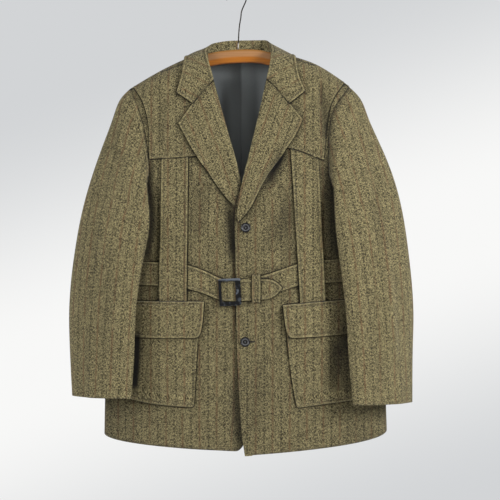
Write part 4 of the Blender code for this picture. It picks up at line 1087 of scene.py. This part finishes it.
# Where other bands of the tweed start and end, in millimetres, and their strength there: the dark stripes,
# from the middle between two rust ones; a painted highlight along the turned edges; painted shadow lines
# beside laid pieces; dark lines of the shoulder seams; and painted shade in hollow folds by their depth
DARK_STRIPE = (-2.3, -0.6, 0.0, 0.8)
EDGE_HIGHLIGHT = (1.0, 3.6, 0.34, 0.0)
LAID_SHADOW_LINE = (1.2, 3.5, 0.92, 0.0)
SEAM_LINE = (0.8, 2.2, 0.75, 0.0)
FOLD_SHADE = (0.0, -8.0, 0.0, 0.72)
STITCH_LINE_SHADE = (1.4, 0.16)           # half width of the painted shade line where stitching presses the cloth in, and its strength
# How far in the profile of a turned edge reaches, and its heights at shares of that
PROFILE_MM = 12.0
EDGE_PROFILE = ((0.0, 0.2), (0.16, 1.0), (0.3, 0.75), (0.42, 0.05), (0.56, 0.45), (1.0, 0.5))
# Heights between which the painted light and shade of the lining change, and its tones at shares of the way
# down; heights between which the hook's wire gets its painted highlight
LINING_LIGHT_HEIGHTS = (-0.14, -0.64)
LINING_PAINTED_LIGHT = ((0.0, 0.3), (0.4, 0.95), (0.62, 0.75), (0.8, 0.25))
HOOK_HIGHLIGHT = (-0.111, -0.107)
BUCKLE_HIGHLIGHT = (0.006, 0.003)       # how far below the buckle's top its painted highlight on the upper bar starts and is full


def make_tweed():
    """Woollen herringbone tweed, matt and hairy: flecked yarns, faint ribs and thin rust stripes."""
    made, tree = new_material("woollen_tweed")
    sizes = bpy.context.scene.jacket_tweed
    cloth = stored(tree, "cloth", "Vector")
    edge = stored(tree, "edge")
    across, along = add(tree, "ShaderNodeSeparateXYZ", {0: cloth}).outputs[:2]
    slant = maths(tree, "ADD", maths(tree, "PINGPONG", across, sizes.rib_width / MM), along)
    twill = maths(tree, "SINE", maths(tree, "MULTIPLY", slant, 2 * math.pi * MM / sizes.twill_pitch))
    fleck = noise(tree, cloth, 0.8 * MM / sizes.fleck, 1.0, "2D")
    yarn = add(tree, "ShaderNodeTexVoronoi", {"Vector": cloth, "Scale": MM / sizes.fleck},
               voronoi_dimensions="2D")
    yarn_tone = add(tree, "ShaderNodeSeparateColor", {0: yarn.outputs["Color"]}).outputs[0]
    cloud = noise(tree, cloth, 0.03, 2.0, "2D")
    wale = noise(tree, stretched(tree, cloth, WALE_SCALE), 1.0, 2.0, "2D")
    sharp = remapped(tree, fleck, *FLECK_RANGE)
    tone = TONE_START
    for part, weight in zip((sharp, yarn_tone, twill, cloud, wale), TONE_WEIGHTS):
        tone = maths(tree, "MULTIPLY_ADD", part, weight, tone)
    yarns = (sizes.dark, sizes.brown, sizes.green, sizes.light)
    ground = ramp(tree, tone, tuple(zip(TONE_STOPS, yarns)))
    half = sizes.stripe_spacing / MM / 2
    aside = maths(tree, "ABSOLUTE", maths(tree, "WRAP", across, half, -half))
    start, end, *strengths = RUST_STRIPE
    wide = sizes.stripe_width / MM
    rust = maths(tree, "MULTIPLY", remapped(tree, aside, start * wide, end * wide, *strengths),
                 remapped(tree, cloud, *RUST_PATCHES))
    striped = mixed(tree, maths(tree, "MULTIPLY", rust, yarn_tone), ground, rgba(sizes.rust))
    # dark stripes of dots of about 3.5 mm, drawn coarse
    start, end, *strengths = DARK_STRIPE
    wave = maths(tree, "SINE", maths(tree, "MULTIPLY", along, 2 * math.pi / DOT_PITCH_MM))
    dotted = maths(tree, "MULTIPLY", remapped(tree, aside, half + start, half + end, *strengths),
                   remapped(tree, wave, -0.5, 0.5))
    lined = mixed(tree, dotted, striped, rgba(sizes.dark))
    # a painted highlight along the turned edges, in the light yarn's colour
    edge_highlighted = mixed(tree, remapped(tree, edge, *EDGE_HIGHLIGHT), lined, rgba(sizes.light))
    # painted shade: a line where the stitches press the cloth in, a painted shadow line beside a laid piece,
    # the painted shade stored on the piece and shade in hollow folds, all towards a darker copy of the dark
    # yarn
    width, strength = STITCH_LINE_SHADE
    sewn = maths(tree, "COMPARE", edge, bpy.context.scene.jacket_sewing.inset / MM, width)
    stitch_line_shade = maths(tree, "MULTIPLY", sewn, strength)
    line = remapped(tree, stored(tree, "crevice"), *LAID_SHADOW_LINE, interpolation_type="SMOOTHSTEP")
    sunk = remapped(tree, maths(tree, "ABSOLUTE", stored(tree, "seam")), *SEAM_LINE)
    fold_shade = remapped(tree, stored(tree, "fold"), *FOLD_SHADE)
    depth = maths(tree, "ADD", stored(tree, "shade"), fold_shade, use_clamp=True)
    for more in (line, stitch_line_shade, sunk):
        depth = maths(tree, "MAXIMUM", depth, more)
    shaded = mixed(tree, depth, edge_highlighted, rgba(toned(sizes.dark, 0.25)))
    ridge = ramp(tree, maths(tree, "DIVIDE", edge, PROFILE_MM), EDGE_PROFILE)
    turned = bumped(tree, ridge, 1.6 * MM, 1.0)
    return surfaced(made, {
        "Base Color": shaded, "Roughness": 0.92, "Specular IOR Level": 0.25, "Sheen Weight": 0.12,
        "Sheen Roughness": 0.6, "Normal": bumped(tree, tone, 1.0 * MM, 0.7, Normal=turned)})


def make_satin():
    """Dark woven satin, smooth with a soft shine, with painted light and shade: paler lower down, where less
    of it is in the shade, darker again near its foot, and lighter on raised folds.
    """
    made, tree = new_material("satin_lining")
    base = bpy.context.scene.jacket_finishes.satin
    _, height = place_on(tree)
    # drawn at 2.5 mm, as coarse as it needs to be to show
    weave = noise(tree, stored(tree, "cloth", "Vector"), 0.4, 2.0, "2D")
    # painted light and shade: a tone by height and a lighter tone on raised folds, drawn between a shaded
    # and a lit copy of the satin colour
    paler = ramp(tree, remapped(tree, height, *LINING_LIGHT_HEIGHTS), LINING_PAINTED_LIGHT)
    tone = maths(tree, "MULTIPLY_ADD", weave, 0.12, paler)
    lit_folds = maths(tree, "MULTIPLY_ADD", stored(tree, "fold"), 0.06, tone)
    return surfaced(made, {
        "Base Color": ramp(tree, lit_folds, ((0.0, toned(base, 0.6)), (1.0, toned(base, 3.6)))),
        "Roughness": 0.6, "Specular IOR Level": 0.22, "Sheen Weight": 0.12,
        "Normal": bumped(tree, weave, 0.2 * MM, 0.3)})


def make_wood():
    """Bent beech, varnished orange-brown: long dark grain below a clear gloss, and painted light and shade
    across the bar.
    """
    made, tree = new_material("varnished_beech")
    finishes = bpy.context.scene.jacket_finishes
    place, _ = place_on(tree)
    # grain lines of about 3 mm, drawn out forty times along the bar
    grain = noise(tree, stretched(tree, place, (8.0, 330.0, 330.0)), 1.0, 4.0, Roughness=0.6)
    # painted light and shade across the round bar: a paler band along the face, where the print's place is
    # bare, with painted light; orange and darker below it and darkest at the lower edge, as painted shade
    lit_and_shaded = ramp(tree, stored(tree, "up"), (
        (0.02, finishes.wood_shaded_edge), (0.14, finishes.wood_shaded_half), (0.4, finishes.wood_shaded_half),
        (0.52, finishes.wood_bare_and_lit_band), (0.8, finishes.wood_bare_and_lit_band), (0.92, finishes.wood)))
    streak = remapped(tree, grain, 0.3, 0.62, 0.72, 1.0)
    return surfaced(made, {
        "Base Color": mixed(tree, 1.0, lit_and_shaded, streak, "MULTIPLY"), "Roughness": 0.35, "Coat Weight": 0.6,
        "Coat Roughness": 0.12, "Normal": bumped(tree, grain, 0.2 * MM, 0.2)})


def make_wire():
    """Drawn steel wire gone dull: brown spots, and a painted highlight at its foot, in front of the collar.
    """
    made, tree = new_material("drawn_steel_wire")
    finishes = bpy.context.scene.jacket_finishes
    place, height = place_on(tree)
    spots = noise(tree, place, 250.0, 3.0)
    shade = ramp(tree, spots, ((0.35, toned(finishes.wire, 0.45)), (0.6, finishes.wire)))
    # a painted highlight at the foot of the hook
    foot = remapped(tree, height, *HOOK_HIGHLIGHT, 1.0, 0.0)
    return surfaced(made, {
        "Base Color": mixed(tree, foot, shade, rgba(finishes.wire_highlight)), "Metallic": 1.0,
        "Roughness": remapped(tree, spots, 0.0, 1.0, 0.6, 0.3),
        "Normal": bumped(tree, spots, 0.1 * MM, 0.3)})


def make_plastic():
    """Moulded cast plastic, nearly black with grey clouds under a gloss, with a painted highlight on the
    upper bar.
    """
    made, tree = new_material("marbled_plastic")
    finishes = bpy.context.scene.jacket_finishes
    place, height = place_on(tree)
    cloud = noise(tree, place, 70.0, 2.0, Distortion=1.5)
    shade = ramp(tree, cloud, ((0.56, finishes.plastic), (0.85, finishes.marble)))
    start, full = (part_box("buckle")[1].z - gap for gap in BUCKLE_HIGHLIGHT)
    top_highlight = remapped(tree, height, start, full, 0.0, 0.85)
    return surfaced(made, {
        "Base Color": mixed(tree, top_highlight, shade, rgba(finishes.marble)), "Roughness": 0.16, "IOR": 1.5,
        "Coat Weight": 0.3, "Normal": bumped(tree, cloud, 0.1 * MM, 0.15)})


def make_horn():
    """Turned horn, dark and polished, with cloudy streaks, a paler middle and a paler ring painted on as the
    highlight on the rim of its dish.
    """
    made, tree = new_material("polished_horn")
    base = bpy.context.scene.jacket_finishes.horn
    place, _ = place_on(tree)
    cloud = noise(tree, stretched(tree, place, (260.0, 260.0, 90.0)), 1.0, 2.0)
    paler_grey, dark = [8.0 * base[0]] * 3, toned(base, 0.3)
    # a paler middle, and a paler ring that is a painted highlight on the rim of the dish
    shade = ramp(tree, stored(tree, "ring"), (
        (0.1, paler_grey), (0.2, dark), (0.42, dark), (0.55, paler_grey), (0.62, paler_grey), (0.74, dark)))
    tint = remapped(tree, cloud, 0.0, 1.0, 0.5, 1.5)
    return surfaced(made, {
        "Base Color": mixed(tree, 1.0, shade, tint, "MULTIPLY"),
        "Roughness": remapped(tree, cloud, 0.0, 1.0, 0.18, 0.34), "IOR": 1.54})


def make_thread(name="sewing_thread", field="thread"):
    """Twisted sewing thread, matt, a shade lighter than the ground of the tweed."""
    made, tree = new_material(name)
    base = getattr(bpy.context.scene.jacket_finishes, field)
    place, _ = place_on(tree)
    twist = noise(tree, place, 400.0, 1.0)
    shade = ramp(tree, twist, ((0.35, toned(base, 0.7)), (0.65, toned(base, 1.2))))
    return surfaced(made, {"Base Color": shade, "Roughness": 0.8})


def make_dark_thread():
    """Dark buttonhole twist."""
    return make_thread("buttonhole_twist", "twist")


MAKERS = {"tweed": make_tweed, "satin": make_satin, "varnished_wood": make_wood, "steel_wire": make_wire,
          "dark_plastic": make_plastic, "dark_horn": make_horn, "thread": make_thread,
          "dark_thread": make_dark_thread}
MADE = {}


def material(slot):
    """The material of a slot, made when it is first asked for."""
    if slot not in MADE:
        MADE[slot] = MAKERS[slot]()
    return MADE[slot]


def put_on_for(node, mesh, slot, *more_slots):
    """Puts a mesh on the jacket in place of a solid, with the material that shows first."""
    mesh.materials.clear()
    for name in (slot, *more_slots):
        mesh.materials.append(material(name))
    piece = put_on(mesh.name, mesh)
    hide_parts(node)
    return piece


def smooth_copy(node, slot, crisp):
    """A smooth copy of a hard piece, with edges sharper than an angle in degrees kept crisp."""
    cage = merged(node)
    crease = cage.edges.layers.float.new("crease_edge")
    for edge in cage.edges:
        if edge.calc_face_angle(0) > math.radians(crisp):
            edge[crease] = HARD_CREASE
    return put_on_for(node, subdivided(cage_mesh(cage, node + "_finished"), HARD_LEVEL), slot)


def dress(*nodes):
    """Dresses pieces of cloth one after the other."""
    for node in nodes:
        dressed(node)
    return {"FINISHED"}


class JACKET_OT_body(bpy.types.Operator):
    """Fronts, back and the lining of the neck"""

    bl_idname = "jacket.body"
    bl_label = "Body"

    def execute(self, context):
        return dress("front_right", "front_left", "back", "lining_back")


class JACKET_OT_sleeves(bpy.types.Operator):
    """Two-piece sleeves"""

    bl_idname = "jacket.sleeves"
    bl_label = "Sleeves"

    def execute(self, context):
        return dress(*(half + side for side in SIDES for half in ("sleeve_top_", "sleeve_under_")))


class JACKET_OT_collar(bpy.types.Operator):
    """Collar and lapels"""

    bl_idname = "jacket.collar"
    bl_label = "Collar and lapels"

    def execute(self, context):
        return dress("collar_stand", "collar_fall", "lapel_right", "lapel_left")


class JACKET_OT_applied(bpy.types.Operator):
    """Yokes, straps, pockets and flaps laid on the fronts"""

    bl_idname = "jacket.applied"
    bl_label = "Yokes, straps and pockets"

    def execute(self, context):
        return dress(*(kind + side for side in SIDES for kind in ("yoke_", "strap_", "pocket_", "flap_")))


class JACKET_OT_belt(bpy.types.Operator):
    """Belt, its keeper and its buckle"""

    bl_idname = "jacket.belt"
    bl_label = "Belt"

    def execute(self, context):
        done = dress("belt_back", "belt_right", "belt_left", "belt_keeper")
        smooth_copy("buckle", "dark_plastic", crisp=50)
        return done


# Button thread: half the distance between two holes, thickness, how far it lies below the rim
BUTTON_HOLES = 0.0021
BUTTON_THREAD = 0.0009
BUTTON_DISH = 0.0008
BUTTONHOLE = (0.0, 0.020)            # from the button's middle to the end of its buttonhole, across
BUTTONHOLE_HALF = 0.0007
BUTTONHOLE_CORD = 0.0018
BUTTONHOLE_STEPS = 24
LOOP_STEPS = 6
RAY_BACK = 0.02                      # how far in front of a button the search for the cloth starts


def cord(name, points, thickness, slot, closed=False):
    """A thin cord through points, as one plain mesh."""
    drawn = drawn_through(name, [points], closed)
    drawn.data.bevel_depth = thickness / 2
    drawn.data.bevel_resolution = 2
    drawn.data.use_fill_caps = True
    mesh = finished_mesh(drawn)
    mesh.materials.clear()
    mesh.materials.append(material(slot))
    put_on(name, mesh)


def sew_on(node, middle, face):
    """Two loops of thread through the four holes of a button."""
    for number, side in enumerate((-1, 1)):
        x = middle[0] + side * BUTTON_HOLES
        arch = [(x, face + BUTTON_DISH + (1 - math.sin(math.pi * step / LOOP_STEPS)) * BUTTON_THREAD,
                 middle[2] + BUTTON_HOLES * (2 * step / LOOP_STEPS - 1)) for step in range(LOOP_STEPS + 1)]
        cord("%s_thread_%d" % (node, number + 1), arch, BUTTON_THREAD, "dark_thread")


def work_buttonhole():
    """The worked buttonhole that shows beside the lower button."""
    low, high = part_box("button_lower")
    middle = (low + high) / 2
    front = SHELLS["front_left"][0].data
    tree = BVHTree.FromPolygons(read_points(front).tolist(), [list(p.vertices) for p in front.polygons])
    start, end = BUTTONHOLE
    ring = []
    for step in range(BUTTONHOLE_STEPS):
        turn = 2 * math.pi * step / BUTTONHOLE_STEPS
        x = middle.x + (start + end) / 2 + (end - start) / 2 * math.cos(turn)
        z = middle.z + BUTTONHOLE_HALF * math.sin(turn)
        found = tree.ray_cast(Vector((x, low.y - RAY_BACK, z)), Vector((0, 1, 0)))[0]
        ring.append(tuple(found))
    cord("buttonhole", ring, BUTTONHOLE_CORD, "dark_thread", closed=True)


class JACKET_OT_buttons(bpy.types.Operator):
    """Buttons, their thread and the buttonhole"""

    bl_idname = "jacket.buttons"
    bl_label = "Buttons"

    def execute(self, context):
        for node in ("button_upper", "button_lower"):
            button = smooth_copy(node, "dark_horn", crisp=40)
            low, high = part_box(node)
            middle = np.array(low + high) / 2
            places = read_points(button.data) - middle
            across = np.hypot(places[:, 0], places[:, 2])
            add_values(button.data, "ring", "FLOAT", across / across.max())
            sew_on(node, middle, low.y)
        work_buttonhole()
        return {"FINISHED"}


class JACKET_OT_seams(bpy.types.Operator):
    """Painted shadow lines, painted shade and stitches along the edges"""

    bl_idname = "jacket.seams"
    bl_label = "Seams and stitches"

    def execute(self, context):
        paint_edge_shade()
        tree, sockets = stitch_tree()
        for node, (shell, _) in SHELLS.items():
            if CLOTH[node][SEWN_TO] is None:
                continue
            lines = edge_lines(shell.data, context.scene.jacket_sewing.inset)
            if lines:
                stitches(node + "_stitches", lines, tree, sockets)
        return {"FINISHED"}


class JACKET_OT_hanger(bpy.types.Operator):
    """Wooden hanger and its wire hook"""

    bl_idname = "jacket.hanger"
    bl_label = "Hanger"

    def execute(self, context):
        bar = smooth_copy("hanger_bar", "varnished_wood", crisp=60)
        places = read_points(bar.data)
        # share of the way up the bar at each place, which the painted light and shade of the wood follow
        along, low, high = spans(places[:, ::-1])
        low, high = (np.interp(places[:, 0] / MM, along, edge) for edge in (low, high))
        add_values(bar.data, "up", "FLOAT", (places[:, 2] / MM - low) / (high - low))
        smooth_copy("hanger_hook", "steel_wire", crisp=60)
        return {"FINISHED"}


# Lights: place, what they point at, size and the property that holds their power
LIGHTS = {"key_light": ((2.2, -1.6, 0.2), (0.0, 0.0, -0.5), 1.0, "key"),
          "fill_light": ((-2.1, -1.7, 0.2), (0.0, 0.0, -0.55), 1.2, "fill"),
          "back_light": ((0.9, 2.4, 0.5), (0.0, 0.0, -0.5), 1.2, "back")}
# The palest band of the surround, painted light on the backdrop that the camera sees: its tilt, how far
# below level it lies, where it starts and ends to fade
PAINTED_LIGHT_BAND = (-0.34, 0.036, 0.02, 0.21)
FLOOR_REACH = 1.3
CAMERA_PLACE = (0.0275, -2.65, -0.53)
SENSOR_MM = 36.0
LENS_MM = 93.6


class JACKET_OT_stage(bpy.types.Operator):
    """Floor, soft lights and camera"""

    bl_idname = "jacket.stage"
    bl_label = "Stage"

    def execute(self, context):
        stage = context.scene.jacket_stage
        world = bpy.data.worlds.new("pale_surround")
        context.scene.world = world
        world.use_nodes = True
        tree = world.node_tree
        tree.nodes.clear()
        place = add(tree, "ShaderNodeTexCoord").outputs["Generated"]
        way = add(tree, "ShaderNodeSeparateXYZ", {0: place}).outputs
        # the camera sees the surround with a band of painted light; the light from all round is one plain
        # colour
        tilt, below, start, end = PAINTED_LIGHT_BAND
        level = maths(tree, "ADD", maths(tree, "MULTIPLY_ADD", way[0], tilt, way[2]), below)
        share = remapped(tree, maths(tree, "ABSOLUTE", level), start, end, 1.0, 0.0,
                         interpolation_type="SMOOTHSTEP")
        painted_band = mixed(tree, share, rgba(stage.surround), rgba(stage.surround_light))
        seen = add(tree, "ShaderNodeBackground", {0: painted_band})
        lit = add(tree, "ShaderNodeBackground", {0: rgba(stage.surround_light), 1: stage.ambient})
        ray = add(tree, "ShaderNodeLightPath").outputs["Is Camera Ray"]
        both = add(tree, "ShaderNodeMixShader", {0: ray, 1: lit.outputs[0], 2: seen.outputs[0]})
        add(tree, "ShaderNodeOutputWorld", {0: both.outputs[0]})
        for name, (place, aim, size, field) in LIGHTS.items():
            lamp = bpy.data.lights.new(name, "AREA")
            lamp.size = size
            lamp.energy = getattr(stage, field)
            light = linked(name, lamp)
            light.location = place
            light.rotation_euler = (Vector(aim) - Vector(place)).to_track_quat("-Z", "Y").to_euler()
        mesh = bpy.data.meshes.new("floor")
        corners = [(x * FLOOR_REACH, y * FLOOR_REACH, -stage.floor_drop)
                   for x, y in ((-1, -1), (1, -1), (1, 1), (-1, 1))]
        mesh.from_pydata(corners, [], [(0, 1, 2, 3)])
        plain, _ = new_material("pale_floor")
        mesh.materials.append(surfaced(plain, {"Base Color": rgba(stage.surround), "Roughness": 0.8}))
        linked("floor", mesh)
        lens = bpy.data.cameras.new("camera")
        lens.sensor_width = SENSOR_MM
        lens.lens = LENS_MM
        camera = linked("camera", lens)
        camera.location = CAMERA_PLACE
        camera.rotation_euler = (math.pi / 2, 0.0, 0.0)
        context.scene.camera = camera
        context.scene.view_settings.view_transform = "Standard"
        return {"FINISHED"}


OPERATORS = (JACKET_OT_stage, JACKET_OT_hanger, JACKET_OT_body, JACKET_OT_sleeves, JACKET_OT_collar,
             JACKET_OT_applied, JACKET_OT_belt, JACKET_OT_buttons, JACKET_OT_seams)
GROUPS = {"jacket_tweed": JacketTweed, "jacket_sewing": JacketSewing, "jacket_finishes": JacketFinishes,
          "jacket_stage": JacketStage}


class JACKET_PT_sidebar(bpy.types.Panel):
    """Shows the jacket's settings and a button for each of its steps"""

    bl_idname = "JACKET_PT_sidebar"
    bl_label = "Tweed jacket"
    bl_space_type = "VIEW_3D"
    bl_region_type = "UI"
    bl_category = "Jacket"

    def draw(self, context):
        for name, group in GROUPS.items():
            box = self.layout.box()
            for field in group.__annotations__:
                box.prop(getattr(context.scene, name), field)
        for kind in OPERATORS:
            self.layout.operator(kind.bl_idname)


CLASSES = tuple(GROUPS.values()) + OPERATORS + (JACKET_PT_sidebar,)


def register():
    for kind in CLASSES:
        bpy.utils.register_class(kind)
    for name, group in GROUPS.items():
        setattr(bpy.types.Scene, name, PointerProperty(type=group))


def unregister():
    for name in GROUPS:
        delattr(bpy.types.Scene, name)
    for kind in reversed(CLASSES):
        bpy.utils.unregister_class(kind)


def main():
    register()
    for make in (bpy.ops.jacket.stage, bpy.ops.jacket.hanger, bpy.ops.jacket.body, bpy.ops.jacket.sleeves,
                 bpy.ops.jacket.collar, bpy.ops.jacket.applied, bpy.ops.jacket.belt,
                 bpy.ops.jacket.buttons, bpy.ops.jacket.seams):
        make()


if __name__ == "__main__":
    main()
